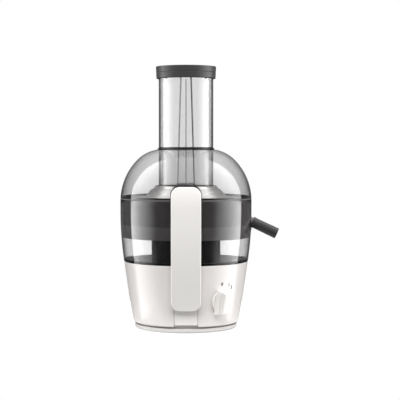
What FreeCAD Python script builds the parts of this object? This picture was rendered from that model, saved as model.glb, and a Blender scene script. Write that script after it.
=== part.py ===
import FreeCAD, Part
import math
import operator
import os
from types import SimpleNamespace

import Sketcher

# Centrifugal juicer in millimetres, +Z up. The origin is on the table, under the motor shaft.
# The front clamp faces -Y and the juice spout points along +X.

# Driving dimensions: value and meaning. Heights are above the table, radii about the motor shaft.
DIMENSIONS = {
    "gap": (0.3, "clearance between pieces that move past each other"),
    "edge": (0.8, "small edge rounding"),
    "table_gap": (1.2, "underside of the bottom cover"),
    "foot_ring_radius": (78.9, "bottom cover rim"),
    "foot_ring_top": (7.0, "top of the bottom cover rim"),
    "cover_plate_top": (4.7, "inner face of the bottom cover"),
    "neck_radius": (74.5, "collar of the bottom cover inside the housing"),
    "neck_top": (14.0, "top of that collar"),
    "foot_radius": (9.0, "rubber foot"),
    "foot_top": (2.7, "top of the rubber foot in its pocket"),
    "foot_circle": (62.0, "circle of the feet"),
    "base_bottom": (9.7, "lower edge of the motor housing"),
    "base_bottom_radius": (81.6, "housing at its lower edge"),
    "base_belly_radius": (88.6, "housing half way up"),
    "base_top": (102.0, "upper edge of the motor housing"),
    "base_top_radius": (95.2, "housing at its upper edge"),
    "base_wall": (2.8, "housing wall"),
    "deck_top": (102.0, "deck that carries the pulp container"),
    "deck_thickness": (3.5, "edge of the deck in the housing"),
    "deck_wall": (2.5, "wall of the deck and pillar"),
    "rim_wall": (1.6, "housing wall round the edge of the deck"),
    "pillar_radius": (49.6, "pillar round the motor shaft"),
    "pillar_top": (150.0, "top of the pillar"),
    "column_x": (61.8, "screw column from the middle, across"),
    "column_y": (16.6, "screw column from the middle, front to back"),
    "column_radius": (5.0, "screw column"),
    "shell_radius": (100.9, "widest radius of the clear shell"),
    "shell_straight": (180.0, "height where the container starts to narrow"),
    "container_waist_radius": (99.55, "container half way down its narrowing part"),
    "container_foot_radius": (95.5, "container at the deck"),
    "container_top": (197.4, "rim of the pulp container"),
    "container_floor": (104.6, "inner floor of the pulp container"),
    "clear_wall": (1.7, "wall of the pulp container"),
    "sleeve_radius": (53.0, "dark inner sleeve of the container, round the pillar"),
    "sleeve_top": (146.0, "top of that sleeve"),
    "collector_radius": (98.7, "outer wall of the juice collector"),
    "collector_low_radius": (98.0, "outer wall at the underside of the gutter"),
    "skirt_radius": (97.3, "outer wall at its lower edge"),
    "collector_wall": (2.2, "wall of the juice collector"),
    "collector_top": (199.0, "top of the collector's flange"),
    "lid_seal_width": (1.4, "rubber ring under the lid, across"),
    "lid_seal_height": (2.5, "rubber ring under the lid, upwards"),
    "collector_skirt": (139.0, "lower edge of the collector's outer wall"),
    "gutter_floor": (157.5, "floor of the juice gutter"),
    "gutter_inner_radius": (86.0, "inner wall of the juice gutter"),
    "gutter_inner_top": (166.0, "top of that inner wall"),
    "dome_wall": (2.4, "wall of the lid"),
    "dome_low_radius": (90.0, "arc of the dome's side"),
    "dome_low_height": (194.0, "centre height of that arc"),
    "dome_high_radius": (55.0, "arc of the dome's shoulder"),
    "dome_high_centre": (35.65, "centre of the shoulder arc from the axis"),
    "dome_high_height": (218.75, "centre height of the shoulder arc"),
    "tube_radius": (41.9, "feed tube"),
    "tube_wall": (1.9, "feed tube wall"),
    "tube_bottom": (180.0, "lower end of the feed tube"),
    "tube_top": (381.3, "upper end of the feed tube"),
    "rib_half_width": (1.0, "guide rib inside the feed tube"),
    "pusher_radius": (39.4, "pusher tube"),
    "pusher_bottom": (183.0, "lower end of the pusher"),
    "pusher_top": (384.1, "upper end of the pusher tube"),
    "groove_depth": (3.0, "guide groove of the pusher"),
    "groove_top_half": (7.3, "half width of the groove at the top"),
    "groove_bottom_half": (13.5, "half width of the groove at the bottom"),
    "cap_radius": (46.2, "pusher cap at its top"),
    "cap_low_radius": (45.4, "pusher cap at its lower edge"),
    "cap_bottom": (381.6, "lower edge of the pusher cap"),
    "cap_top": (400.0, "top of the juicer"),
    "spout_start": (97.8, "collector wall where the spout axis leaves it"),
    "spout_height": (163.8, "height of the spout axis there"),
    "spout_length": (46.7, "end of the spout along its axis"),
    "spout_radius": (8.0, "spout at its root"),
    "spout_end_radius": (8.4, "spout at its end"),
    "spout_bore": (6.2, "way through the spout"),
    "mouth_radius": (6.7, "wider mouth at the spout's end"),
    "mouth_depth": (15.0, "depth of that mouth"),
    "nozzle_radius": (6.5, "outlet pipe that the spout is pushed on"),
    "nozzle_bore": (5.0, "bore of the outlet pipe"),
    "nozzle_length": (16.0, "end of the outlet pipe along the axis"),
    "collar_radius": (47.0, "filter collar round the feed tube"),
    "collar_top": (217.0, "top of the filter collar"),
    "collar_foot_radius": (50.4, "filter collar at its foot"),
    "collar_bottom": (211.4, "where the collar meets the shoulder"),
    "shoulder_radius": (64.0, "foot of the steep shoulder below the collar"),
    "filter_radius": (79.0, "top of the filter mesh"),
    "filter_top": (198.0, "top of the filter mesh"),
    "filter_low_radius": (80.6, "bottom of the filter mesh"),
    "filter_bottom": (160.2, "bottom of the filter mesh"),
    "sheet_steel": (0.8, "sheet of the filter"),
    "rim_radius": (82.0, "rim of the filter carrier"),
    "carrier_bottom": (151.5, "underside of the filter carrier"),
    "carrier_plate": (166.0, "underside of the plate under the grater"),
    "grater_seat": (169.5, "underside of the grater disc"),
    "grater_radius": (60.0, "grater disc"),
    "grater_sheet": (1.5, "grater disc thickness"),
    "coupling_radius": (11.0, "hexagonal drive coupling, over its corners"),
    "coupling_top": (164.0, "top of the drive coupling"),
    "shaft_radius": (4.0, "motor shaft"),
    "shaft_bottom": (15.5, "lower end of the motor shaft"),
    "shaft_top": (163.0, "upper end of the motor shaft"),
    "bearing_radius": (11.0, "ball bearing, outside"),
    "bearing_width": (7.0, "ball bearing width"),
    "lower_bearing_seat": (18.0, "underside of the lower bearing"),
    "upper_bearing_seat": (118.0, "underside of the upper bearing"),
    "bracket_thickness": (4.0, "motor bracket plate"),
    "stack_bottom": (46.0, "underside of the motor's steel stack"),
    "stack_top": (84.0, "top of the motor's steel stack"),
    "stack_width": (84.0, "stator across"),
    "stack_depth": (70.0, "stator front to back"),
    "stator_bore": (24.0, "bore of the stator"),
    "armature_radius": (23.3, "armature core"),
    "commutator_radius": (12.0, "commutator"),
    "commutator_bottom": (28.0, "underside of the commutator"),
    "commutator_top": (38.5, "top of the commutator"),
    "coil_near": (26.0, "field coil from the axis"),
    "coil_far": (36.0, "far side of the field coil"),
    "coil_half": (27.5, "half width of the field coil"),
    "pole_half": (18.5, "half width of a stator pole"),
    "coil_overhang": (6.5, "coil beyond the steel stack"),
    "bolt_offset": (31.5, "through bolt from the axis"),
    "fan_radius": (27.0, "cooling fan"),
    "fan_bottom": (94.0, "underside of the fan"),
    "fan_top": (104.0, "top of the fan"),
    "damper_offset": (26.4, "motor mount from the axis, both ways"),
    "damper_height": (4.0, "motor mount damper"),
    "pivot_reach": (76.0, "clamp hinge pin from the axis"),
    "pivot_height": (20.0, "clamp hinge pin"),
    "pivot_radius": (1.98, "clamp hinge pin"),
    "eye_radius": (7.6, "hinge eye of the clamp"),
    "slot_half": (17.8, "half width of the hinge slot"),
    "slot_back": (66.5, "back wall of the hinge slot"),
    "slot_top": (45.0, "top of the hinge slot"),
    "tongue_half": (17.2, "half width of the clamp arm"),
    "arm_thickness": (3.5, "clamp arm strip"),
    "clamp_half": (22.0, "half width of the clamp cover"),
    "clamp_bottom": (35.0, "lower edge of the clamp cover"),
    "clamp_top": (218.6, "upper edge of the clamp cover"),
    "clamp_corner": (13.0, "corner of the clamp cover"),
    "clamp_wall": (2.6, "wall of the clamp cover"),
    "arm_low_reach": (87.3, "inner face of the arm above the slot"),
    "arm_deck_reach": (97.2, "inner face of the arm at the deck"),
    "arm_bend_reach": (100.9, "inner face of the arm beside the container"),
    "arm_top_reach": (102.4, "inner face of the arm beside the lid"),
    "arm_joint": (166.0, "where the arm strip meets the hook frame"),
    "hook_half": (22.8, "half width of the hook frame"),
    "hook_top": (221.0, "top of the front hook frame"),
    "rear_hook_top": (215.0, "top of the rear hook frame"),
    "lug_half": (12.0, "half width of the lid lug"),
    "lug_top": (206.0, "top of the lid lug at the hook"),
    "lug_reach": (105.4, "front of the lid lug"),
    "knob_turn": (38.0, "knob from the front towards +X, in degrees"),
    "knob_tilt": (8.7, "downward tilt of the knob axis, in degrees"),
    "knob_height": (47.0, "centre of the knob"),
    "knob_reach": (87.35, "housing surface at the knob, from the axis"),
    "knob_radius": (18.5, "knob disc"),
    "knob_depth": (13.0, "knob grip in front of the housing"),
    "gland_turn": (125.0, "cord gland from +X, in degrees"),
    "gland_height": (24.0, "centre of the cord gland"),
    "gland_reach": (84.2, "housing surface at the gland, from the axis"),
    "gland_bore": (3.6, "hole for the cord"),
    "switch_height": (35.0, "plunger of the safety switch"),
    "plunger_radius": (1.5, "plunger of the safety switch"),
}

FRONT = -1
REAR = 1
SIDES = ((1, 1), (1, -1), (-1, 1), (-1, -1))
SPOUT_SLOPE = math.radians(25.4)
VECTOR = FreeCAD.Vector
UP = VECTOR(0, 0, 1)
RIGHT = VECTOR(1, 0, 0)
BACK = VECTOR(0, 1, 0)
SPOUT_AXIS = VECTOR(math.cos(SPOUT_SLOPE), 0, -math.sin(SPOUT_SLOPE))

doc = FreeCAD.newDocument("juicer")
sheet = doc.addObject("Spreadsheet::Sheet", "dims")
for row, (alias, (amount, meaning)) in enumerate(DIMENSIONS.items(), start=1):
    sheet.set(f"A{row}", meaning)
    sheet.set(f"B{row}", str(amount))
    sheet.setAlias(f"B{row}", alias)
doc.recompute()
nodes = []


# Sizes that carry their sheet expression

OPERATIONS = {"+": operator.add, "-": operator.sub, "*": operator.mul, "/": operator.truediv}


class Size:
    """A length in millimetres and the sheet expression that gives it."""

    def __init__(self, value, text):
        self.value = value
        self.text = text

    def __add__(self, other):
        return combine(self, "+", other)

    def __radd__(self, other):
        return combine(other, "+", self)

    def __sub__(self, other):
        return combine(self, "-", other)

    def __rsub__(self, other):
        return combine(other, "-", self)

    def __mul__(self, other):
        return combine(self, "*", other)

    def __rmul__(self, other):
        return combine(other, "*", self)

    def __truediv__(self, other):
        return combine(self, "/", other)

    def __neg__(self):
        return combine(0, "-", self)


def size_of(number):
    """A plain number as a Size; a Size stays as it is."""
    if isinstance(number, Size):
        return number
    return Size(float(number), f"{number:.9f}")


def combine(first, sign, second):
    """Two sizes joined by one arithmetic sign, as value and as expression."""
    first = size_of(first)
    second = size_of(second)
    value = OPERATIONS[sign](first.value, second.value)
    return Size(value, f"({first.text} {sign} {second.text})")


def root(size):
    """Square root of a size."""
    return Size(math.sqrt(size.value), f"sqrt({size.text})")


def bind(thing, path, size):
    """Tie one property of an object to the sheet."""
    size = size_of(size)
    if "dims." in size.text:
        thing.setExpression(path, size.text)
    elif path.isidentifier():
        setattr(thing, path, size.value)


d = SimpleNamespace(**{alias: Size(pair[0], f"dims.{alias}") for alias, pair in DIMENSIONS.items()})


# Sketched outlines

class Via:
    """A point that the arc between the two corners beside it passes through."""

    def __init__(self, across, along):
        self.point = (across, along)

    def centre(self, first, last):
        """Centre of the arc, and whether it runs counterclockwise."""
        middle = flat(self.point)
        side = middle - first
        chord = last - first
        twice_area = 2 * (side.x * chord.y - side.y * chord.x)
        side_square = side.dot(side)
        chord_square = chord.dot(chord)
        across = (chord.y * side_square - side.y * chord_square) / twice_area
        along = (side.x * chord_square - chord.x * side_square) / twice_area
        return first + VECTOR(across, along, 0), twice_area > 0

    def tie(self, sketch, arc):
        """Fix the point and lay it on the arc."""
        point = sketch.addGeometry(Part.Point(flat(self.point)), True)
        pin(sketch, point, 1, self.point)
        sketch.addConstraint(Sketcher.Constraint("PointOnObject", point, 1, arc))


class Bend:
    """An arc of a given radius between the two corners beside it."""

    def __init__(self, radius, left=True):
        self.radius = size_of(radius)
        self.left = left

    def centre(self, first, last):
        """Centre of the arc, and whether it runs counterclockwise."""
        chord = last - first
        half = chord.Length / 2
        rise = math.sqrt(max(self.radius.value ** 2 - half ** 2, 0))
        inward = VECTOR(-chord.y, chord.x, 0).normalize() * (rise if self.left else -rise)
        return (first + last) / 2 + inward, self.left

    def tie(self, sketch, arc):
        """Fix the radius of the arc."""
        index = sketch.addConstraint(Sketcher.Constraint("Radius", arc, self.radius.value))
        bind(sketch, f"Constraints[{index}]", self.radius)


def flat(corner):
    """A corner's values as a vector of the sketch plane."""
    return VECTOR(size_of(corner[0]).value, size_of(corner[1]).value, 0)


def pin(sketch, curve, end, corner):
    """Fix one end of a curve at a corner measured from the sketch origin."""
    for kind, number in zip(("DistanceX", "DistanceY"), corner):
        size = size_of(number)
        index = sketch.addConstraint(Sketcher.Constraint(kind, -1, 1, curve, end, size.value))
        bind(sketch, f"Constraints[{index}]", size)


def sides_of(marks):
    """Split corners and arc marks into sides: start, arc mark or None, end."""
    sides = []
    start = None
    mark = None
    for item in marks + [marks[0]]:
        if not isinstance(item, tuple):
            mark = item
            continue
        if start is not None:
            sides.append((start, mark, item))
        start = item
        mark = None
    return sides


def outline(body, plane, marks, lift=0):
    """A closed sketch on one of the body's own planes, lifted along the plane's normal."""
    sketch = body.newObject("Sketcher::SketchObject", f"{body.Name}_outline")
    support = next(item for item in body.Origin.OriginFeatures if item.Role == plane)
    sketch.AttachmentSupport = [(support, "")]
    sketch.MapMode = "FlatFace"
    sketch.AttachmentOffset = FreeCAD.Placement(VECTOR(0, 0, size_of(lift).value), FreeCAD.Rotation())
    bind(sketch, "AttachmentOffset.Base.z", lift)
    ends = []
    for start, mark, end in sides_of(marks):
        first = flat(start)
        last = flat(end)
        if mark is None:
            curve = sketch.addGeometry(Part.LineSegment(first, last), False)
            ends.append((curve, 1, 2))
        else:
            centre, forward = mark.centre(first, last)
            low, high = (first, last) if forward else (last, first)
            turn_low = math.atan2(low.y - centre.y, low.x - centre.x)
            turn_high = math.atan2(high.y - centre.y, high.x - centre.x)
            circle = Part.Circle(centre, UP, (first - centre).Length)
            arc = Part.ArcOfCircle(circle, turn_low, turn_high)
            curve = sketch.addGeometry(arc, False)
            ends.append((curve, 1, 2) if forward else (curve, 2, 1))
    for index, (start, mark, end) in enumerate(sides_of(marks)):
        curve, curve_start, curve_end = ends[index]
        following, following_start, _ = ends[(index + 1) % len(ends)]
        joint = Sketcher.Constraint("Coincident", curve, curve_end, following, following_start)
        sketch.addConstraint(joint)
        pin(sketch, curve, curve_start, start)
        if mark is not None:
            mark.tie(sketch, curve)
    return sketch


# Features

def lathe(label, marks):
    """A body turned about the Z axis from an outline of radius and height."""
    body = doc.addObject("PartDesign::Body", label)
    sketch = outline(body, "XZ_Plane", marks)
    turn = body.newObject("PartDesign::Revolution", f"{label}_turn")
    turn.Profile = sketch
    turn.ReferenceAxis = (sketch, ["V_Axis"])
    turn.Angle = 360
    return body


def pad(body, plane, marks, thickness, lift=0, symmetric=False):
    """Add an outline's slab to a body."""
    feature = body.newObject("PartDesign::Pad", f"{body.Name}_pad")
    feature.Profile = outline(body, plane, marks, lift)
    feature.SideType = "Symmetric" if symmetric else "One side"
    bind(feature, "Length", thickness)
    return feature


def pocket(body, plane, marks, width):
    """Cut an outline's slab, centred on its plane, out of a body."""
    feature = body.newObject("PartDesign::Pocket", f"{body.Name}_pocket")
    feature.Profile = outline(body, plane, marks)
    feature.SideType = "Symmetric"
    bind(feature, "Length", width)
    return feature


def slab(label, plane, marks, thickness, lift=0, symmetric=False):
    """A new body made of one slab."""
    body = doc.addObject("PartDesign::Body", label)
    pad(body, plane, marks, thickness, lift, symmetric)
    return body


def round_edges(body, radius, wanted):
    """Fillet the edges of a body that a test picks out."""
    doc.recompute()
    base = body.Tip
    picked = [f"Edge{number}" for number, edge in enumerate(base.Shape.Edges, start=1) if wanted(edge)]
    fillet = body.newObject("PartDesign::Fillet", f"{body.Name}_round")
    fillet.Base = (base, picked)
    bind(fillet, "Radius", radius)


def shaped(kind, name, base, turn, sizes):
    """A solid primitive at a place, with its sizes tied to the sheet."""
    piece = doc.addObject(f"Part::{kind}", name)
    for path, size in sizes.items():
        bind(piece, path, size)
    corner = [size_of(number) for number in base]
    piece.Placement = FreeCAD.Placement(VECTOR(*[size.value for size in corner]), turn)
    for axis, size in zip("xyz", corner):
        bind(piece, f"Placement.Base.{axis}", size)
    return piece


def block(name, across, along, height):
    """A box between two limits on each axis."""
    base = (across[0], along[0], height[0])
    sizes = {"Length": across[1] - across[0], "Width": along[1] - along[0], "Height": height[1] - height[0]}
    return shaped("Box", name, base, FreeCAD.Rotation(), sizes)


def rod(name, radius, base, length, direction=UP):
    """A cylinder from a point along a direction."""
    sizes = {"Radius": radius, "Height": length}
    return shaped("Cylinder", name, base, FreeCAD.Rotation(UP, direction), sizes)


def hexagon(name, radius, base, length):
    """An upright hexagonal prism with its corners on a radius."""
    piece = shaped("Prism", name, base, FreeCAD.Rotation(), {"Circumradius": radius, "Height": length})
    piece.Polygon = 6
    return piece


def ring(label, inner, outer, bottom, top):
    """A plain ring about the Z axis."""
    return lathe(label, [(inner, bottom), (outer, bottom), (outer, top), (inner, top)])


def join(name, *pieces):
    """One solid out of several."""
    fused = doc.addObject("Part::MultiFuse", name)
    fused.Shapes = list(pieces)
    return fused


def cut(name, piece, *tools):
    """A solid with other solids taken out of it."""
    result = doc.addObject("Part::Cut", name)
    result.Base = piece
    result.Tool = tools[0] if len(tools) == 1 else join(f"{name}_tools", *tools)
    return result


def overlap(name, first, second):
    """The space that two solids share."""
    result = doc.addObject("Part::Common", name)
    result.Base = first
    result.Tool = second
    return result


def bundle(name, pieces):
    """Several separate solids kept as one piece of the assembly."""
    group = doc.addObject("Part::Compound", name)
    group.Links = list(pieces)
    return group


def node(label, piece):
    """Name a finished piece of the assembly."""
    piece.Label = label
    nodes.append(piece)


def both(half):
    """Limits at equal distance on both sides of the axis."""
    return -half, half


def reach(facing, near, far):
    """Limits along Y between two distances from the axis, to the front or the rear."""
    return (-far, -near) if facing == FRONT else (near, far)


def turned_to(piece, turn):
    """A piece turned about the Z axis from where it was made, by an angle in degrees."""
    for axis in "xyz":
        piece.setExpression(f"Placement.Base.{axis}", None)
    piece.Placement = FreeCAD.Placement(VECTOR(), FreeCAD.Rotation(UP, turn)) * piece.Placement
    return piece


def around(count, radius, start=0.0):
    """Places on a circle: x and y sizes and the turn in degrees."""
    places = []
    for index in range(count):
        turn = start + 360.0 * index / count
        places.append((radius * math.cos(math.radians(turn)), radius * math.sin(math.radians(turn)), turn))
    return places


# Base: bottom cover, feet, housing, deck

COLUMNS = [(d.column_x * across, d.column_y * along) for across, along in SIDES]


def make_bottom_cover():
    """Bottom cover with its rim, foot pockets, screw holes and air slots."""
    plate = lathe("bottom_cover_turned", [
        (0, d.table_gap),
        (d.foot_ring_radius - 1.5, d.table_gap),
        Bend(1.5),
        (d.foot_ring_radius, d.table_gap + 1.5),
        (d.foot_ring_radius, d.foot_ring_top - d.edge),
        Bend(d.edge),
        (d.foot_ring_radius - d.edge, d.foot_ring_top),
        (d.neck_radius, d.foot_ring_top),
        (d.neck_radius, d.neck_top),
        (d.neck_radius - d.deck_wall, d.neck_top),
        (d.neck_radius - d.deck_wall, d.cover_plate_top),
        (0, d.cover_plate_top),
    ])
    tools = []
    for x, y, _ in around(4, d.foot_circle, 45):
        tools.append(rod("foot_pocket", d.foot_radius + 0.2, (x, y, 0), d.foot_top))
    for x, y in COLUMNS:
        tools.append(rod("cover_screw_hole", 2.2, (x, y, 0), d.cover_plate_top + 1))
        tools.append(rod("cover_screw_sink", 4.3, (x, y, 0), 3.0))
    for index in range(-3, 4):
        middle = index * 7.0
        tools.append(block("air_slot", (middle - 1.5, middle + 1.5), both(18), (0, d.cover_plate_top + 1)))
    for facing in (FRONT, REAR):
        depth = reach(facing, 60, d.neck_radius + 1)
        room = block("hinge_room", both(d.slot_half + 6), depth, (d.foot_ring_top + 1, d.pivot_height))
        sill = block("arm_sill", both(d.slot_half - 0.4), depth, (d.foot_ring_top, d.foot_ring_top + 4))
        tools.append(cut("hinge_opening", room, sill))
    node("bottom_cover", cut("bottom_cover_cut", plate, *tools))


def make_feet():
    """Four rubber feet in one group."""
    feet = []
    for x, y, _ in around(4, d.foot_circle, 45):
        feet.append(rod("foot", d.foot_radius, (x, y, 0), d.foot_top))
    node("rubber_feet", bundle("feet", feet))


def make_bottom_screws():
    """Four screws from the bottom cover into the deck's columns."""
    screws = []
    for x, y in COLUMNS:
        head = rod("cover_screw_head", 4.0, (x, y, 1.4), 1.6)
        shank = rod("cover_screw_shank", 1.9, (x, y, 3.0), 17)
        screws.append(join("cover_screw", head, shank))
    node("bottom_screws", bundle("cover_screws", screws))


def knob_placement():
    """The knob's own frame: Z out of the housing, Y up along it, origin on its surface."""
    turn = math.radians(d.knob_turn.value)
    tilt = math.radians(d.knob_tilt.value)
    level = VECTOR(math.sin(turn), -math.cos(turn), 0)
    outward = level * math.cos(tilt) - UP * math.sin(tilt)
    sideways = VECTOR(math.cos(turn), math.sin(turn), 0)
    upward = outward.cross(sideways)
    centre = level * d.knob_reach.value + UP * d.knob_height.value
    return FreeCAD.Placement(centre, FreeCAD.Rotation(sideways, upward, outward, "ZXY"))


def knob_rod(name, radius, low, high):
    """A cylinder on the knob's axis between two distances from the housing surface."""
    piece = rod(name, radius, (0, 0, 0), high - low)
    piece.Placement = knob_placement() * FreeCAD.Placement(VECTOR(0, 0, low), FreeCAD.Rotation())
    return piece


def gland_placement():
    """The cord gland's own frame: Z out of the housing, origin on its surface."""
    turn = math.radians(d.gland_turn.value)
    level = VECTOR(math.cos(turn), math.sin(turn), 0)
    centre = level * d.gland_reach.value + UP * d.gland_height.value
    return FreeCAD.Placement(centre, FreeCAD.Rotation(UP, level))


def make_housing():
    """White motor housing with hinge slots, knob seat and gland hole."""
    belly = (d.base_bottom + d.base_top) / 2
    inner_top = d.base_top_radius - d.base_wall
    inner_bottom = d.base_bottom_radius - d.base_wall
    shell = lathe("housing_shell", [
        (d.base_bottom_radius - 1.5, d.base_bottom),
        Bend(1.5),
        (d.base_bottom_radius, d.base_bottom + 1.5),
        Via(d.base_belly_radius, belly),
        (d.base_top_radius, d.base_top - d.edge),
        Bend(d.edge),
        (d.base_top_radius - d.edge, d.base_top),
        (d.base_top_radius - d.rim_wall, d.base_top),
        (d.base_top_radius - d.rim_wall, d.base_top - d.deck_thickness),
        (inner_top, d.base_top - d.deck_thickness),
        Via(d.base_belly_radius - d.base_wall, belly),
        (inner_bottom, d.base_bottom + 1.5),
        (inner_bottom, d.base_bottom),
    ])
    envelope = shaped("Cone", "housing_core", (0, 0, d.base_bottom), FreeCAD.Rotation(), {
        "Radius1": d.base_bottom_radius - 2, "Radius2": d.base_belly_radius - 2.3, "Height": d.slot_top - 7,
    })
    solids = [shell]
    tools = []
    for facing in (FRONT, REAR):
        cheeks = block("hinge_cheeks", both(d.slot_half + 4.7), reach(facing, d.slot_back - 2.5, 95),
                       (d.base_bottom, d.slot_top + 2))
        solids.append(overlap("hinge_box", cheeks, envelope))
        tools.append(block("hinge_slot", both(d.slot_half), reach(facing, d.slot_back, 95), (5, d.slot_top)))
        tools.append(rod("hinge_bore", 2.0, (-22, facing * d.pivot_reach, d.pivot_height), 44, RIGHT))
    tools.append(rod("plunger_hole", d.plunger_radius + 0.4, (0, -d.slot_back - 1, d.switch_height), 6, BACK))
    solids.append(knob_rod("knob_boss", d.knob_radius.value + 3, -10, -3.2))
    tools.append(knob_rod("knob_seat", d.knob_radius.value + d.gap.value, -5, 10))
    tools.append(knob_rod("spindle_hole", 3.4, -12, 0))
    gland_hole = rod("gland_hole", 6.2, (0, 0, 0), 20)
    gland_hole.Placement = gland_placement() * FreeCAD.Placement(VECTOR(0, 0, -14), FreeCAD.Rotation())
    tools.append(gland_hole)
    node("motor_housing", cut("housing_cut", join("housing_solid", *solids), *tools))


def make_top_cover():
    """Dark deck on the housing with screw columns below it."""
    underside = d.deck_top - d.deck_thickness
    deck_radius = d.base_top_radius - d.rim_wall - 0.2
    solids = [ring("deck_turned", d.pillar_radius, deck_radius, underside, d.deck_top)]
    tools = []
    column_length = underside + 1 - d.cover_plate_top
    for x, y in COLUMNS:
        solids.append(rod("column", d.column_radius, (x, y, d.cover_plate_top), column_length))
        tools.append(rod("column_hole", 2.0, (x, y, d.cover_plate_top - 1), 20))
    node("top_cover", cut("deck_cut", join("deck_solid", *solids), *tools))


def make_pillar():
    """Dark pillar round the motor shaft, moulded to the deck, with motor bosses inside."""
    inner = d.pillar_radius - d.deck_wall
    roof = d.pillar_top - d.deck_wall
    seal_seat = 12.5
    turned = lathe("pillar_turned", [
        (seal_seat, roof),
        (inner, roof),
        (inner, d.deck_top - d.deck_thickness),
        (d.pillar_radius, d.deck_top - d.deck_thickness),
        (d.pillar_radius, d.pillar_top - 1.5),
        Bend(1.5),
        (d.pillar_radius - 1.5, d.pillar_top),
        (seal_seat, d.pillar_top),
    ])
    solids = [turned]
    tools = []
    boss_bottom = d.upper_bearing_seat + d.damper_height
    for across, along in SIDES:
        foot = (d.damper_offset * across, d.damper_offset * along, boss_bottom)
        solids.append(rod("motor_boss", 4.5, foot, d.pillar_top - 1 - boss_bottom))
        tools.append(rod("motor_boss_hole", 1.8, foot, 15))
    node("motor_pillar", cut("pillar_cut", join("pillar_solid", *solids), *tools))


def make_shaft_seal():
    """Rubber lip seal where the motor shaft leaves the pillar."""
    lip = d.shaft_radius + d.gap
    node("shaft_seal", ring("seal_turned", lip, 12.4, d.pillar_top - 4, d.pillar_top + 0.8))


def make_gland():
    """Bush in the housing wall for the mains lead."""
    bush = lathe("cord_gland", [
        (d.gland_bore, -7), (7.2, -7), (7.2, -5.2), (5.9, -5.2), (5.9, 1.4), (8.5, 1.4), (8.5, 3.4),
        Bend(1.0), (7.5, 4.4), (d.gland_bore + 1, 4.4), Bend(1.0), (d.gland_bore, 3.4),
    ])
    bush.Placement = gland_placement()
    node("cord_gland", bush)


# Clear parts: pulp container, juice collector, lid, pusher

def make_pulp_container():
    """Clear pulp container with its outlet slot and floor, and the dark inner sleeve in it."""
    bottom = d.deck_top
    floor = d.container_floor
    middle = d.shell_straight - 40
    inner_shell = d.shell_radius - d.clear_wall
    inner_low = d.container_foot_radius + 0.6 - d.clear_wall
    floor_edge = inner_low - 2.5
    wall = lathe("container_turned", [
        (floor_edge, bottom),
        (d.container_foot_radius - d.edge, bottom),
        Bend(d.edge),
        (d.container_foot_radius, bottom + d.edge),
        Via(d.container_waist_radius, middle),
        (d.shell_radius, d.shell_straight),
        (d.shell_radius, d.container_top),
        (inner_shell, d.container_top),
        (inner_shell, d.shell_straight),
        Via(d.container_waist_radius - d.clear_wall, middle),
        (inner_low, floor + 2.5),
        Bend(2.5, False),
        (floor_edge, floor),
    ])
    slot_middle = d.spout_height - 1.6
    slot_half = d.spout_radius + 1.6
    slot = block("outlet_slot", (90, 110), both(slot_half), (slot_middle, 210))
    slot_end = rod("outlet_slot_end", slot_half, (90, 0, slot_middle), 20, RIGHT)
    node("pulp_container", cut("container_cut", wall, slot, slot_end))
    node("container_floor", ring("floor_turned", d.sleeve_radius, floor_edge, bottom, floor))
    sleeve_inner = d.sleeve_radius - d.clear_wall
    node("container_sleeve", ring("sleeve_turned", sleeve_inner, d.sleeve_radius, bottom, d.sleeve_top))


def along_spout(distance):
    """Point on the spout's axis at a distance from the collector wall."""
    return (d.spout_start + distance * SPOUT_AXIS.x, 0, d.spout_height + distance * SPOUT_AXIS.z)


def make_juice_collector():
    """Dark collector, moulded in one: hanging wall with flange and outlet pipe, gutter floor, inner wall."""
    wall = d.collector_wall
    inner = d.collector_radius - wall
    under = d.gutter_floor - 2.5
    skirt = d.collector_skirt
    turned = lathe("collector_turned", [
        (d.skirt_radius - wall, skirt),
        (d.skirt_radius - d.edge, skirt),
        Bend(d.edge),
        (d.skirt_radius, skirt + d.edge),
        (d.collector_low_radius, under),
        (d.collector_radius, d.shell_straight),
        (d.collector_radius, d.container_top),
        (d.shell_radius - 0.3, d.container_top),
        (d.shell_radius - 0.3, d.collector_top),
        (inner, d.collector_top),
        (inner, d.shell_straight),
        (d.collector_low_radius - wall, d.gutter_floor),
        (d.collector_low_radius - wall, under),
    ])
    pipe = rod("outlet_pipe", d.nozzle_radius, along_spout(-3.0), d.nozzle_length + 3.0, SPOUT_AXIS)
    filler = block("slot_filler", (d.collector_radius - 1, d.shell_radius - 0.6), both(d.spout_radius + 0.9),
                   (d.spout_height + 9, d.container_top + 0.5))
    bore = rod("outlet_bore", d.nozzle_bore, along_spout(-9.0), d.nozzle_length + 20, SPOUT_AXIS)
    node("juice_collector", cut("collector_cut", join("collector_solid", turned, pipe, filler), bore))
    floor_edge = d.collector_low_radius - wall
    floor = ring("gutter_turned", d.gutter_inner_radius, floor_edge, under, d.gutter_floor)
    floor_pipe = rod("floor_pipe", d.nozzle_radius, along_spout(-9.0), d.nozzle_length, SPOUT_AXIS)
    node("gutter_floor", cut("gutter_cut", floor, floor_pipe))
    node("gutter_wall", ring("gutter_wall_turned", d.gutter_inner_radius - 2, d.gutter_inner_radius,
                             skirt + 8, d.gutter_inner_top))


def dome_marks(offset):
    """Dome profile from the lid's lower edge up to the feed tube, set in by an offset."""
    low_radius = d.dome_low_radius - offset
    high_radius = d.dome_high_radius - offset
    low_centre = d.shell_radius - d.dome_low_radius
    spread = d.dome_low_radius - d.dome_high_radius
    share_across = (d.dome_high_centre - low_centre) / spread
    share_up = (d.dome_high_height - d.dome_low_height) / spread
    rise = d.collector_top - d.dome_low_height
    tube = d.tube_radius - d.dome_high_centre
    foot = (low_centre + root(low_radius * low_radius - rise * rise), d.collector_top)
    change = (d.dome_high_centre + high_radius * share_across, d.dome_high_height + high_radius * share_up)
    top = (d.tube_radius, d.dome_high_height + root(high_radius * high_radius - tube * tube))
    return foot, low_radius, change, high_radius, top


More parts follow.
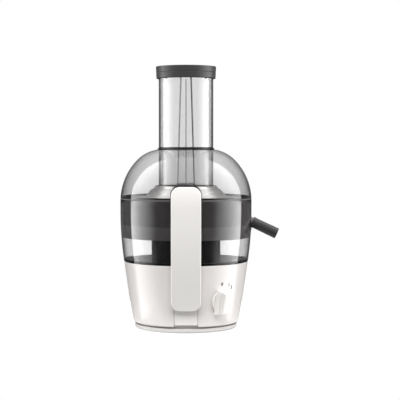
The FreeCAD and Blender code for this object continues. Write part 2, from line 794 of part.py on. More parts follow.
def make_lid():
    """Clear dome and feed tube in one piece, with clamp lugs and a guide rib."""
    foot, low_radius, change, high_radius, top = dome_marks(0)
    inner_foot, inner_low, inner_change, inner_high, inner_top = dome_marks(d.dome_wall)
    tube_inner = d.tube_radius - d.tube_wall
    turned = lathe("lid_turned", [
        (tube_inner, d.tube_bottom),
        (d.tube_radius, d.tube_bottom),
        inner_top,
        Bend(inner_high, False),
        inner_change,
        Bend(inner_low, False),
        inner_foot,
        foot,
        Bend(low_radius),
        change,
        Bend(high_radius),
        top,
        (d.tube_radius, d.tube_top),
        (tube_inner, d.tube_top),
    ])
    solids = [turned]
    rib_front = reach(FRONT, d.pusher_radius - 1.4, tube_inner + 1)
    solids.append(block("guide_rib", both(d.rib_half_width), rib_front, (d.tube_bottom, d.tube_top - 3)))
    lug_slope = math.tan(math.radians(14))
    root_reach = d.shell_radius - 2.5
    for facing in (FRONT, REAR):
        lug = slab("clamp_lug", "YZ_Plane", [
            (facing * root_reach, d.collector_top + 0.8),
            (facing * d.lug_reach, d.collector_top + 0.8),
            (facing * d.lug_reach, d.lug_top - (d.lug_reach - d.arm_top_reach) * lug_slope),
            (facing * root_reach, d.lug_top + (d.arm_top_reach - root_reach) * lug_slope),
        ], d.lug_half * 2, symmetric=True)
        solids.append(lug)
    node("lid", join("lid_solid", *solids))


def make_lid_seal():
    """Rubber ring on the collector's flange, just inside the lid's foot."""
    inner = d.collector_radius - d.collector_wall
    seal_top = d.collector_top + d.lid_seal_height
    node("lid_seal", ring("lid_seal_turned", inner, inner + d.lid_seal_width, d.collector_top, seal_top))


def groove_slab(label, extra, near, far):
    """Tapered slab at the front of the pusher, wider by extra, between two distances from the axis."""
    top_half = d.groove_top_half + extra
    bottom_half = d.groove_bottom_half + extra
    return slab(label, "XZ_Plane", [
        (-bottom_half, d.pusher_bottom),
        (bottom_half, d.pusher_bottom),
        (top_half, d.pusher_top),
        (-top_half, d.pusher_top),
    ], far - near, near)


def make_pusher():
    """Clear pusher tube with its guide groove, and the dark cap on it."""
    wall = d.clear_wall
    floor = d.pusher_bottom + 2.5
    tube = lathe("pusher_turned", [
        (0, d.pusher_bottom),
        (d.pusher_radius - 1.5, d.pusher_bottom),
        Bend(1.5),
        (d.pusher_radius, d.pusher_bottom + 1.5),
        (d.pusher_radius, d.pusher_top),
        (d.pusher_radius - wall, d.pusher_top),
        (d.pusher_radius - wall, floor),
        (0, floor),
    ])
    groove_bottom = d.pusher_radius - d.groove_depth
    channel = groove_slab("groove_channel", 2, groove_bottom - 2, d.pusher_radius)
    core = rod("pusher_core", d.pusher_radius - 0.2, (0, 0, d.pusher_bottom), d.pusher_top - d.pusher_bottom)
    solid = join("pusher_solid", tube, overlap("groove_walls", channel, core))
    groove = groove_slab("groove_cut", 0, groove_bottom, d.pusher_radius + 3)
    node("pusher_tube", cut("pusher_cut", solid, groove))

    crease = (d.cap_bottom + d.cap_top) / 2
    middle_radius = (d.cap_radius + d.cap_low_radius) / 2
    plug = d.pusher_radius - wall - d.gap
    cap = lathe("cap_turned", [
        (0, d.cap_top - 4),
        (plug - 2, d.cap_top - 4),
        (plug - 2, d.cap_bottom + d.gap),
        (plug, d.cap_bottom + d.gap),
        (plug, d.pusher_top + d.gap),
        (d.pusher_radius + d.gap, d.pusher_top + d.gap),
        (d.pusher_radius + d.gap, d.cap_bottom),
        (d.cap_low_radius - 0.6, d.cap_bottom),
        Bend(0.6),
        (d.cap_low_radius, d.cap_bottom + 0.6),
        (middle_radius, crease - 0.5),
        (middle_radius - 0.4, crease),
        (middle_radius, crease + 0.5),
        (d.cap_radius, d.cap_top - d.edge),
        Bend(d.edge),
        (d.cap_radius - d.edge, d.cap_top),
        (0, d.cap_top),
    ])
    solids = [cap]
    tab_near = d.tube_radius + 0.7
    for turn in (-134, -46):
        tab = block("snap_tab", (tab_near, tab_near + 1.4), both(1.5), (d.cap_bottom - 1.6, d.cap_bottom + 1))
        solids.append(turned_to(tab, turn))
    notch = block("plug_notch", both(d.groove_top_half + 2.7), reach(FRONT, plug - 3, plug + 2),
                  (d.cap_bottom - 1, d.pusher_top + d.gap))
    node("pusher_cap", cut("cap_cut", join("cap_solid", *solids), notch))


def make_spout():
    """Dark spout, pushed on the collector's outlet pipe."""
    start = 4.4
    step = d.nozzle_length + 1
    socket = d.nozzle_radius + 0.08
    collar = d.spout_radius + 0.4
    spout = lathe("juice_spout", [
        (socket, start),
        (collar - 0.5, start),
        Bend(0.5),
        (collar, start + 0.5),
        (collar, start + 4.6),
        (d.spout_radius, start + 5),
        (d.spout_end_radius, d.spout_length - 1.0),
        Bend(1.0),
        (d.spout_end_radius - 1.0, d.spout_length),
        (d.mouth_radius, d.spout_length),
        (d.mouth_radius, d.spout_length - d.mouth_depth),
        (d.spout_bore, d.spout_length - d.mouth_depth - 0.5),
        (d.spout_bore, step),
        (socket, step - 0.5),
    ])
    foot = VECTOR(d.spout_start.value, 0, d.spout_height.value)
    spout.Placement = FreeCAD.Placement(foot, FreeCAD.Rotation(UP, SPOUT_AXIS))
    node("juice_spout", spout)


# Filter and drive

def make_filter():
    """Filter basket: polished shoulder, mesh wall, carrier, grater disc and its nut."""
    sheet_thickness = d.sheet_steel
    collar_wall = 1.6
    flange_top = d.filter_top + 1.2
    node("filter_shoulder", lathe("shoulder_turned", [
        (d.collar_foot_radius - collar_wall, d.collar_bottom - 0.8),
        (d.collar_foot_radius + 1.6, d.collar_bottom - 1.4),
        (d.shoulder_radius - 1.2, d.filter_top),
        (d.filter_radius, d.filter_top),
        (d.filter_radius, flange_top),
        (d.shoulder_radius, flange_top),
        (d.collar_foot_radius + 2.8, d.collar_bottom),
        (d.collar_foot_radius, d.collar_bottom + 0.6),
        (d.collar_radius, d.collar_top - d.edge),
        Bend(d.edge),
        (d.collar_radius - d.edge, d.collar_top),
        (d.collar_radius - collar_wall, d.collar_top),
    ]))
    node("filter_mesh", lathe("mesh_turned", [
        (d.filter_low_radius - sheet_thickness, d.filter_bottom),
        (d.filter_low_radius, d.filter_bottom),
        (d.filter_radius, d.filter_top),
        (d.filter_radius - sheet_thickness, d.filter_top),
    ]))

    rim_inner = d.filter_low_radius - 2.2
    rim = ring("carrier_rim", rim_inner, d.rim_radius, d.carrier_bottom, d.filter_bottom)
    hub = rod("carrier_hub", 18, (0, 0, d.carrier_bottom), d.carrier_plate - d.carrier_bottom + 1)
    plate_thickness = d.grater_seat - d.carrier_plate
    plate = rod("carrier_plate", d.grater_radius - 2, (0, 0, d.carrier_plate), plate_thickness)
    solids = [rim, hub, plate]
    spoke_height = (d.carrier_bottom + 0.5, d.carrier_bottom + 6.5)
    for _, _, turn in around(6, 1.0):
        spoke = block("spoke", (14, d.rim_radius - 2), both(3.5), spoke_height)
        solids.append(turned_to(spoke, turn))
    socket = hexagon("carrier_socket", d.coupling_radius + 0.3, (0, 0, d.carrier_bottom - 1),
                     d.coupling_top + 0.3 - d.carrier_bottom + 1)
    stud_hole = rod("stud_hole", 4.1, (0, 0, d.carrier_bottom), 30)
    node("filter_carrier", cut("carrier_cut", join("carrier_solid", *solids), socket, stud_hole))

    grater_top = d.grater_seat + d.grater_sheet
    teeth = [rod("grater_plate", d.grater_radius, (0, 0, d.grater_seat), d.grater_sheet)]
    tooth = {"Radius1": 1.2, "Radius2": 0.15, "Height": 2.1}
    for circle, count in ((16.0, 8), (26.0, 12), (36.0, 16), (46.0, 20), (55.0, 24)):
        for x, y, _ in around(count, circle, circle):
            teeth.append(shaped("Cone", "tooth", (x, y, grater_top - 0.3), FreeCAD.Rotation(), tooth))
    disc_hole = rod("disc_hole", 4.1, (0, 0, d.grater_seat - 1), 5)
    node("grater_disc", cut("grater_cut", join("grater_solid", *teeth), disc_hole))
    nut_head = hexagon("nut_head", 8.0, (0, 0, grater_top), 5)
    nut_stud = rod("nut_stud", 4.0, (0, 0, d.coupling_top + 0.5), grater_top - d.coupling_top - 0.5)
    node("filter_nut", join("nut_solid", nut_head, nut_stud))


def make_drive():
    """Motor shaft and the hexagonal coupling that carries the filter."""
    node("motor_shaft", rod("shaft", d.shaft_radius, (0, 0, d.shaft_bottom), d.shaft_top - d.shaft_bottom))
    body = hexagon("coupling_body", d.coupling_radius, (0, 0, d.pillar_top + 1.2),
                   d.coupling_top - d.pillar_top - 1.2)
    bore = rod("coupling_bore", d.shaft_radius + 0.02, (0, 0, d.pillar_top), d.shaft_top - d.pillar_top + 0.2)
    node("drive_coupling", cut("coupling_cut", body, bore))


# Motor

def make_stator():
    """Laminated stator with its two field coils."""
    height = (d.stack_bottom, d.stack_top)
    stack = doc.addObject("PartDesign::Body", "stator_stack")
    pad(stack, "XY_Plane", [
        (-d.stack_width / 2, -d.stack_depth / 2),
        (d.stack_width / 2, -d.stack_depth / 2),
        (d.stack_width / 2, d.stack_depth / 2),
        (-d.stack_width / 2, d.stack_depth / 2),
    ], d.stack_top - d.stack_bottom, d.stack_bottom)
    round_edges(stack, 8, lambda edge: abs(edge.tangentAt(edge.FirstParameter).z) > 0.99)
    length = d.stack_top - d.stack_bottom
    tools = [rod("stator_bore", d.stator_bore, (0, 0, d.stack_bottom), length)]
    for facing in (FRONT, REAR):
        tools.append(rod("bolt_hole", 2.2, (0, facing * d.bolt_offset, d.stack_bottom), length))
    coils = []
    for across, along in SIDES:
        near = (d.coil_near - 0.5, d.coil_far + 0.5)
        x_limits = near if across > 0 else (-near[1], -near[0])
        y_limits = reach(along, d.pole_half, d.coil_half + 0.5)
        tools.append(block("coil_window", x_limits, y_limits, height))
    for across in (-1, 1):
        x_limits = (d.coil_near, d.coil_far) if across > 0 else (-d.coil_far, -d.coil_near)
        coil_height = (d.stack_bottom - d.coil_overhang, d.stack_top + d.coil_overhang)
        winding = block("coil_winding", x_limits, both(d.coil_half), coil_height)
        pole = block("coil_pole", x_limits, both(d.pole_half + 0.5), (height[0] - 0.5, height[1] + 0.5))
        coils.append(cut("coil", winding, pole))
    node("motor_stator", cut("stator_cut", stack, *tools))
    node("field_coils", bundle("coils", coils))


def make_armature():
    """Armature core with slots, its windings, the commutator and the cooling fan."""
    bore = d.shaft_radius + 0.02
    core = ring("armature_turned", bore, d.armature_radius, d.stack_bottom, d.stack_top)
    slots = []
    for _, _, turn in around(12, 1.0):
        slot = block("armature_slot", (d.armature_radius - 6, d.armature_radius + 1), both(1.2),
                     (d.stack_bottom, d.stack_top))
        slots.append(turned_to(slot, turn))
    node("armature_core", cut("armature_cut", core, *slots))
    rings = []
    for low, high in ((d.stack_bottom - 6, d.stack_bottom), (d.stack_top, d.stack_top + 6.5)):
        rings.append(lathe("end_winding", [
            (bore + 2, low), (16, low), Bend(4.0), (20, low + 4), (20, high - 0.2), (bore + 2, high - 0.2),
        ]))
    node("armature_windings", bundle("end_windings", rings))
    bars = ring("commutator_turned", bore, d.commutator_radius, d.commutator_bottom, d.commutator_top)
    node("commutator", bars)

    solids = [rod("fan_hub", 9, (0, 0, d.fan_bottom), d.fan_top - d.fan_bottom)]
    solids.append(rod("fan_disc", d.fan_radius, (0, 0, d.fan_bottom), 1.6))
    for _, _, turn in around(9, 1.0):
        blade = block("fan_blade", (7, d.fan_radius), both(0.8), (d.fan_bottom + 1, d.fan_top - 1))
        solids.append(turned_to(blade, turn))
    fan_bore = rod("fan_bore", bore, (0, 0, d.fan_bottom - 1), 15)
    node("cooling_fan", cut("fan_cut", join("fan_solid", *solids), fan_bore))


def make_brackets():
    """Upper and lower motor brackets with their ball bearings."""
    pocket_radius = d.bearing_radius + 0.02
    upper = d.upper_bearing_seat
    upper_bottom = upper - d.bracket_thickness
    plate = lathe("upper_bracket_turned", [
        (6, upper_bottom),
        (d.pillar_radius - 5.5, upper_bottom),
        (d.pillar_radius - 5.5, upper),
        (14, upper),
        (14, upper + d.bearing_width),
        (pocket_radius, upper + d.bearing_width),
        (pocket_radius, upper),
        (6, upper),
    ])
    holes = []
    for across, along in SIDES:
        place = (d.damper_offset * across, d.damper_offset * along, upper_bottom)
        holes.append(rod("mount_hole", 2.1, place, d.bracket_thickness))
    for facing in (FRONT, REAR):
        place = (0, facing * d.bolt_offset, upper_bottom)
        holes.append(rod("upper_bolt_hole", 2.2, place, d.bracket_thickness))
    node("motor_upper_bracket", cut("upper_bracket_cut", plate, *holes))

    lower = d.lower_bearing_seat
    lower_bottom = lower - d.bracket_thickness
    hub = rod("lower_hub", 14, (0, 0, lower_bottom), d.bracket_thickness + d.bearing_width)
    long_bar = block("lower_long_bar", both(42), both(10), (lower_bottom, lower))
    cross_bar = block("lower_cross_bar", both(9), both(d.bolt_offset + 8), (lower_bottom, lower))
    bearing_pocket = rod("lower_bearing_pocket", pocket_radius, (0, 0, lower), d.bearing_width)
    shaft_hole = rod("lower_shaft_hole", 5, (0, 0, lower_bottom), d.bracket_thickness)
    tools = [bearing_pocket, shaft_hole]
    for facing in (FRONT, REAR):
        place = (0, facing * d.bolt_offset, lower_bottom)
        tools.append(rod("lower_bolt_hole", 2.2, place, d.bracket_thickness))
    spider = join("lower_bracket_solid", hub, long_bar, cross_bar)
    node("motor_lower_bracket", cut("lower_bracket_cut", spider, *tools))

    for label, seat in (("upper_bearing", upper), ("lower_bearing", lower)):
        top = seat + d.bearing_width
        race = d.shaft_radius + 2.6
        node(label, lathe(f"{label}_turned", [
            (d.shaft_radius + 0.05, seat),
            (race, seat),
            (race, seat + 0.6),
            (d.bearing_radius - 2.2, seat + 0.6),
            (d.bearing_radius - 2.2, seat),
            (d.bearing_radius, seat),
            (d.bearing_radius, top),
            (d.shaft_radius + 0.05, top),
        ]))


def make_motor_fasteners():
    """Through bolts, mount dampers and mount screws of the motor."""
    upper = d.upper_bearing_seat
    head_bottom = d.lower_bearing_seat - d.bracket_thickness - 2.6
    bolts = []
    for facing in (FRONT, REAR):
        y = facing * d.bolt_offset
        head = rod("bolt_head", 3.6, (0, y, head_bottom), 2.6)
        shank = rod("bolt_shank", 2.0, (0, y, head_bottom + 2.6), upper - head_bottom)
        nut = hexagon("bolt_nut", 3.6, (0, y, upper), 2.4)
        bolts.append(join("bolt", head, shank, nut))
    node("motor_bolts", bundle("bolts", bolts))
    dampers = []
    screws = []
    for across, along in SIDES:
        x = d.damper_offset * across
        y = d.damper_offset * along
        pad_ring = rod("damper_pad", 6.0, (x, y, upper), d.damper_height)
        pad_hole = rod("damper_hole", 2.3, (x, y, upper), d.damper_height)
        dampers.append(cut("damper", pad_ring, pad_hole))
        head = rod("mount_screw_head", 3.5, (x, y, upper - d.bracket_thickness - 2.4), 2.4)
        shank = rod("mount_screw_shank", 1.7, (x, y, upper - d.bracket_thickness), 20)
        screws.append(join("mount_screw", head, shank))
    node("motor_mount_dampers", bundle("dampers", dampers))
    node("motor_screws", bundle("mount_screws", screws))


def make_brushes():
    """Carbon brushes on both sides of the commutator and their holders."""
    holders = []
    brushes = []
    low = d.commutator_bottom + 1
    high = d.commutator_top - 1
    near = d.commutator_radius + d.gap
    for across in (-1, 1):
        holder_limits = reach(across, 15, 36)
        brush_limits = reach(across, near, 30)
        holder = block("holder_body", holder_limits, both(7), (d.lower_bearing_seat, d.commutator_top))
        guide = block("holder_guide", holder_limits, both(3.1), (low - 0.1, high + 0.1))
        holders.append(cut("holder", holder, guide))
        brushes.append(block("brush", brush_limits, both(3.0), (low, high)))
    node("brush_holders", bundle("holders", holders))
    node("carbon_brushes", bundle("brushes", brushes))


# Controls

def make_knob():
    """Speed knob with disc, tapered paddle and grip ridge, its spindle and the rotary switch."""
    knob = doc.addObject("PartDesign::Body", "speed_knob")
    radius = d.knob_radius
    disc = [(-radius, 0), Via(0, -radius), (radius, 0), Via(0, radius)]
    disc_back = -4.6
    disc_front = 1.2
    paddle_back = 0.8
    pad(knob, "XY_Plane", disc, disc_front - disc_back, disc_back)
    paddle_top = d.knob_depth * 0.5
    pad(knob, "XY_Plane", [(-14.5, -17.5), (14.5, -17.5), (12, 17.5), (-12, 17.5)],
        paddle_top - paddle_back, paddle_back)
    pad(knob, "XY_Plane", [(-7.5, -16.5), (7.5, -16.5), (6, 15), (-6, 15)],
        d.knob_depth - paddle_back, paddle_back)
    round_edges(knob, 1.4, lambda edge: edge.BoundBox.ZMin > d.knob_depth.value - 0.1)

    def on_paddle_side(edge):
        """Long outer edges of the paddle's front."""
        box = edge.BoundBox
        return abs(box.ZMin - paddle_top.value) < 0.01 and box.ZLength < 0.01 and abs(box.Center.x) > 11

    round_edges(knob, 1.4, on_paddle_side)
    knob.Placement = knob_placement()
    node("speed_knob", knob)
    node("knob_spindle", knob_rod("spindle", 3.0, -20, disc_back))
    case = block("switch_case", both(13), both(13), (-28, -12))
    neck = rod("switch_neck", 5.5, (0, 0, -13), 3)
    bore = rod("switch_bore", 3.08, (0, 0, -21), 12)
    switch = cut("switch_cut", join("switch_solid", case, neck), bore)
    switch.Placement = knob_placement()
    node("rotary_switch", switch)


def make_safety_switch():
    """Switch behind the front hinge slot and the plunger that the clamp arm presses."""
    face = d.slot_back - 2.9
    height = d.switch_height
    case = block("safety_case", both(10), (-face, -face + 6), (height - 5, height + 5))
    bore = rod("safety_bore", d.plunger_radius + 0.1, (0, -face - 1, height), 5.6, BACK)
    node("safety_switch", cut("safety_cut", case, bore))
    node("switch_plunger", rod("plunger", d.plunger_radius, (0, -d.pivot_reach - 1.7, height), 17.2, BACK))


def make_terminal_block():
    """Terminal block for the mains lead, on the bottom cover beside the gland."""
    body = block("terminal_body", (-58, -34), (26, 40), (d.cover_plate_top, d.cover_plate_top + 12))
    holes = []
    for index in range(3):
        place = (-53 + 7 * index, 33, d.cover_plate_top + 6)
        holes.append(rod("terminal_hole", 2.2, place, 10))
    node("terminal_block", cut("terminal_cut", body, *holes))


# Clamps

def arm_face(facing, offset):
    """Inner face of the clamp arm from the slot up to the hook frame, moved outward by an offset."""
    return [
        (facing * (d.arm_low_reach + offset), d.slot_top - 0.5),
        (facing * (d.arm_deck_reach + offset), d.deck_top + 1),
        Via(facing * (d.arm_bend_reach + offset), 133),
        (facing * (d.arm_top_reach + offset), d.arm_joint),
    ]


def make_clamp(name, facing, hook_top):
    """One clamp: hinge pin, arm strip, dark hook frame and white cover."""
    pin_base = (-21.5, facing * d.pivot_reach, d.pivot_height)
    node(f"{name}_pin", rod(f"{name}_pin_rod", d.pivot_radius, pin_base, 43, RIGHT))

    pivot = d.pivot_reach
    eye = d.eye_radius
    eye_bottom = d.pivot_height - eye
    outer_face = arm_face(facing, d.arm_thickness)
    inner_face = arm_face(facing, 0)
    marks = [
        (facing * (pivot - eye), d.pivot_height),
        Bend(eye, facing == REAR),
        (facing * pivot, eye_bottom),
        (facing * (pivot + 4), eye_bottom),
        (facing * (pivot + 5), eye_bottom + 1),
        (facing * (pivot + 8.3), d.clamp_bottom - 0.8),
    ]
    marks = marks + outer_face + inner_face[::-1]
    marks.append((facing * (pivot + 0.5), d.pivot_height + 11.5))
    marks.append((facing * (pivot - eye), d.pivot_height + 4))
    strip = slab(f"{name}_strip", "YZ_Plane", marks, d.tongue_half * 2, symmetric=True)
    bore = rod(f"{name}_eye", d.pivot_radius + 0.05, (-30, facing * pivot, d.pivot_height), 60, RIGHT)
    node(f"{name}_arm", cut(f"{name}_arm_cut", strip, bore))

    frame_base = d.arm_joint + 0.2
    corner = d.clamp_corner + 1
    frame = slab(f"{name}_frame", "XZ_Plane", [
        (-d.hook_half, frame_base),
        (d.hook_half, frame_base),
        (d.hook_half, hook_top - corner),
        Bend(corner),
        (d.hook_half - corner, hook_top),
        (corner - d.hook_half, hook_top),
        Bend(corner),
        (-d.hook_half, hook_top - corner),
    ], d.arm_thickness, d.arm_top_reach if facing == FRONT else -d.arm_top_reach - d.arm_thickness)
    window_height = (d.collector_top - 0.6, d.lug_top + 0.6)
    window = block(f"{name}_window", both(d.lug_half + 1), reach(facing, 90, 120), window_height)
    node(f"{name}_hook", cut(f"{name}_hook_cut", frame, window))
    make_clamp_cover(name, facing)


def make_clamp_cover(name, facing):
    """White cover: a curved strip with rounded corners, hollow behind, open for the arm below."""
    front_low = d.arm_low_reach + 5.3
    front_mid = d.arm_bend_reach + 4.6
    front_high = d.arm_top_reach + 8.9
    behind = d.arm_top_reach + d.arm_thickness + 0.3
    cover = slab(f"{name}_cover", "YZ_Plane", [
        (facing * front_low, d.clamp_bottom),
        Via(facing * front_mid, 112),
        (facing * front_high, 190),
        Via(facing * (front_high - 0.3), 205),
        (facing * (front_high - 1.7), d.clamp_top),
        (facing * behind, d.clamp_top),
        (facing * behind, d.arm_joint - 0.2),
        (facing * (d.arm_top_reach + 0.5), d.arm_joint - 0.2),
        Via(facing * (d.arm_bend_reach + 0.6), 133),
        (facing * (d.arm_deck_reach + 0.7), d.deck_top + 1),
        (facing * (d.arm_low_reach + 0.9), d.slot_top),
        (facing * (d.arm_low_reach - 0.3), d.clamp_bottom),
    ], d.clamp_half * 2, symmetric=True)

    def at_corner(edge):
        """Edges that run front to back at the four corners of the strip."""
        box = edge.BoundBox
        side = abs(abs(box.Center.x) - d.clamp_half.value) < 0.01 and box.XLength < 0.01
        end = min(abs(box.Center.z - d.clamp_bottom.value), abs(box.Center.z - d.clamp_top.value))
        return side and end < 0.01

    def on_front(edge):
        """Edges round the front face of the strip."""
        middle = edge.valueAt((edge.FirstParameter + edge.LastParameter) / 2)
        share = (middle.z - d.clamp_bottom.value) / (d.clamp_top.value - d.clamp_bottom.value)
        floor = front_low.value - 0.5 + (front_high.value - 2.5 - front_low.value) * share
        inner_end = abs(middle.x) < d.clamp_half.value - d.clamp_corner.value - 0.1
        crossing = inner_end and 36 < middle.z < 217
        return abs(middle.y) > floor and not crossing

    round_edges(cover, d.clamp_corner, at_corner)
    round_edges(cover, 1.5, on_front)
    wall = d.clamp_wall
    pocket(cover, "YZ_Plane", [
        (facing * (front_low - 2.0), d.clamp_bottom + 7.5),
        Via(facing * (front_mid - wall), 112),
        (facing * (front_high - wall), 190),
        (facing * (front_high - wall - 0.5), d.clamp_top - 6.6),
        (facing * (behind - 6), d.clamp_top - 6.6),
        (facing * 80, d.clamp_bottom + 7.5),
    ], (d.clamp_half - 2.8) * 2)
    pocket(cover, "YZ_Plane", [
        (facing * 80, d.clamp_bottom - 4),
        (facing * 84.9, d.clamp_bottom - 2),
        (facing * 91.7, d.clamp_bottom + 8.7),
        (facing * 80, d.clamp_bottom + 8.7),
    ], (d.tongue_half + 0.4) * 2)
    node(f"{name}_cover", cover)


make_bottom_cover()
make_feet()
make_bottom_screws()
make_housing()
make_top_cover()
make_pillar()
make_shaft_seal()
make_gland()
make_pulp_container()
make_juice_collector()
make_lid()
make_lid_seal()
make_pusher()
make_spout()
make_filter()
make_drive()
make_stator()
make_armature()
make_brackets()
make_motor_fasteners()
make_brushes()
make_knob()
make_safety_switch()
make_terminal_block()
make_clamp("front_clamp", FRONT, d.hook_top)
make_clamp("rear_clamp", REAR, d.rear_hook_top)
doc.recompute()

failed = [thing.Label for thing in doc.Objects if {"Invalid", "Error"} & set(thing.State)]
for piece in nodes:
    if piece.Shape.isNull() or not piece.Shape.isValid() or not piece.Shape.Solids:
        failed.append(piece.Label)
if failed:
    raise SystemExit(f"not built: {failed}")

os.makedirs("parts", exist_ok=True)
for piece in nodes:
    piece.Shape.exportStep(f"parts/{piece.Label}.step")
    print(f"{piece.Label}: {len(piece.Shape.Solids)} solids, {piece.Shape.Volume / 1000:.2f} cm3")
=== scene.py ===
"""Upright juicer: finishes for every part, clear mouldings, knob marks, studio and camera."""
import logging
import math
from dataclasses import dataclass
from enum import Enum
from functools import cache
from typing import Any, Sequence

import bmesh
import bpy
import numpy as np
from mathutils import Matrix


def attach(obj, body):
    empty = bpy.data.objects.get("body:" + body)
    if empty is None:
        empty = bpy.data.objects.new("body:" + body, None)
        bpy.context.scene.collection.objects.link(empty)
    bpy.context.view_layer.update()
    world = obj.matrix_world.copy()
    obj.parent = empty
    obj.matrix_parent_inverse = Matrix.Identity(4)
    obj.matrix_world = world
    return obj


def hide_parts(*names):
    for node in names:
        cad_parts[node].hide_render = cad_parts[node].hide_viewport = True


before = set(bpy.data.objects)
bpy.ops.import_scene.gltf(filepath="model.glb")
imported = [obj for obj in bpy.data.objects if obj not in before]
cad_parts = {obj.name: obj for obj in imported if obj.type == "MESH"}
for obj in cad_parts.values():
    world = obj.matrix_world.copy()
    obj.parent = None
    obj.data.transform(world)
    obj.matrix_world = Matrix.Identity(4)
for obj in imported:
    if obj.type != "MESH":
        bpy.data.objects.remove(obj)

LOG = logging.getLogger("juicer")
MM = 0.001
MERGE_GAP = 1e-7
CORNER_STEPS = 4
Point = tuple[float, float]
Colour = tuple[float, float, float]
Node = bpy.types.Node
Socket = bpy.types.NodeSocket
Tree = bpy.types.NodeTree
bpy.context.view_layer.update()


class Body(Enum):
    """Moving groups that new pieces ride on."""

    BASE = "base"
    PUSHER = "pusher"


class Slot(Enum):
    """Material slots of the record, named for new pieces; nothing reads them."""

    CLEAR = "clear_plastic"
    INK = "dark_plastic"


class Facing(Enum):
    """Front and rear of the juicer, as the sign of Y."""

    FRONT = -1
    REAR = 1


class Along(Enum):
    """Direction in which the wires of a winding lie side by side."""

    ACROSS = "X"
    UP = "Z"


# Surfaces


def grid_faces(rows: int, columns: int, wrap_rows: bool, wrap_columns: bool) -> np.ndarray:
    """Quads of a grid whose vertices are numbered row by row.

    Args:
        rows: Number of vertex rows.
        columns: Number of vertices in a row.
        wrap_rows: Whether the last row joins the first.
        wrap_columns: Whether the last column joins the first.

    Returns:
        Array of four vertex numbers for each quad.
    """
    row = np.arange(rows if wrap_rows else rows - 1)[:, None]
    column = np.arange(columns if wrap_columns else columns - 1)[None, :]
    below = (row + 1) % rows
    beside = (column + 1) % columns
    corners = (row * columns + column, row * columns + beside,
               below * columns + beside, below * columns + column)
    return np.stack(np.broadcast_arrays(*corners), -1).reshape(-1, 4)


def rounded_outline(marks: Sequence[tuple[float, float, float]]) -> np.ndarray:
    """Closed outline whose corners are replaced by arcs.

    A corner P with unit directions a and b to its neighbours becomes the arc of radius r about
    P + r / sin(half angle) * (a + b) / |a + b|, swept from P + r / tan(half angle) * a to the same on b.

    Args:
        marks: Corners as x, y and radius.

    Returns:
        Outline points, one row each, without doubles.
    """
    table = np.array(marks, float)
    corners = table[:, :2]
    radius = table[:, 2:]
    back = np.roll(corners, 1, 0) - corners
    ahead = np.roll(corners, -1, 0) - corners
    back /= np.linalg.norm(back, axis=1, keepdims=True)
    ahead /= np.linalg.norm(ahead, axis=1, keepdims=True)
    half = np.arccos(np.clip((back * ahead).sum(1, keepdims=True), -1, 1)) / 2
    smallest_angle, smallest_length, shortest_edge = 1e-4, 1e-9, 1e-6
    half = np.clip(half, smallest_angle, math.pi / 2 - smallest_angle)
    inward = back + ahead
    inward /= np.maximum(np.linalg.norm(inward, axis=1, keepdims=True), smallest_length)
    centre = corners + radius / np.sin(half) * inward
    first = corners + radius / np.tan(half) * back - centre
    last = corners + radius / np.tan(half) * ahead - centre
    share = np.linspace(0, 1, CORNER_STEPS + 1)[None, :, None]
    sweep = (math.pi - 2 * half)[:, None]
    arc = np.sin((1 - share) * sweep) * first[:, None] + np.sin(share * sweep) * last[:, None]
    points = (centre[:, None] + arc / np.sin(sweep)).reshape(-1, 2)
    keep = np.linalg.norm(points - np.roll(points, 1, 0), axis=1) > shortest_edge
    return points[keep]


def wall_end(first: float, last: float, start: float, end: float, lip: float) -> np.ndarray:
    """Profile round the end of a wall: along one face, over the rounded end, and back along the other face.

    Args:
        first: Radius of the face that the profile comes along.
        last: Radius of the face that it goes back along.
        start: Height at which it starts and stops.
        end: Height of the wall's end.
        lip: Radius of the end's two corners.

    Returns:
        Points of radius and height.
    """
    return rounded_outline([(first, start, 0), (first, end, lip), (last, end, lip), (last, start, 0)])


def arc_points(centre: Point, radius: float, start: Point, end: Point, steps: int) -> np.ndarray:
    """Points of an arc about a centre, by equal steps of angle from the start's direction to the end's.

    Args:
        centre: Centre of the arc.
        radius: Radius of the arc.
        start: Point in the direction of the arc's start.
        end: Point in the direction of the arc's end.
        steps: Number of divisions.

    Returns:
        Arc points, one row each.
    """
    low = math.atan2(start[1] - centre[1], start[0] - centre[0])
    high = math.atan2(end[1] - centre[1], end[0] - centre[0])
    turn = np.linspace(low, high, steps + 1)
    return np.column_stack((centre[0] + radius * np.cos(turn), centre[1] + radius * np.sin(turn)))


def arc_through(start: Point, middle: Point, end: Point, steps: int) -> np.ndarray:
    """Points of the arc through three points; its centre is equally far from all of them.

    Args:
        start: First point.
        middle: Point on the way.
        end: Last point.
        steps: Number of divisions.

    Returns:
        Arc points, one row each.
    """
    points = np.array((start, middle, end), float)
    sides = 2 * (points[1:] - points[0])
    squares = (points[1:] ** 2).sum(1) - (points[0] ** 2).sum()
    centre = np.linalg.solve(sides, squares)
    return arc_points(tuple(centre), float(np.linalg.norm(points[0] - centre)), start, end, steps)


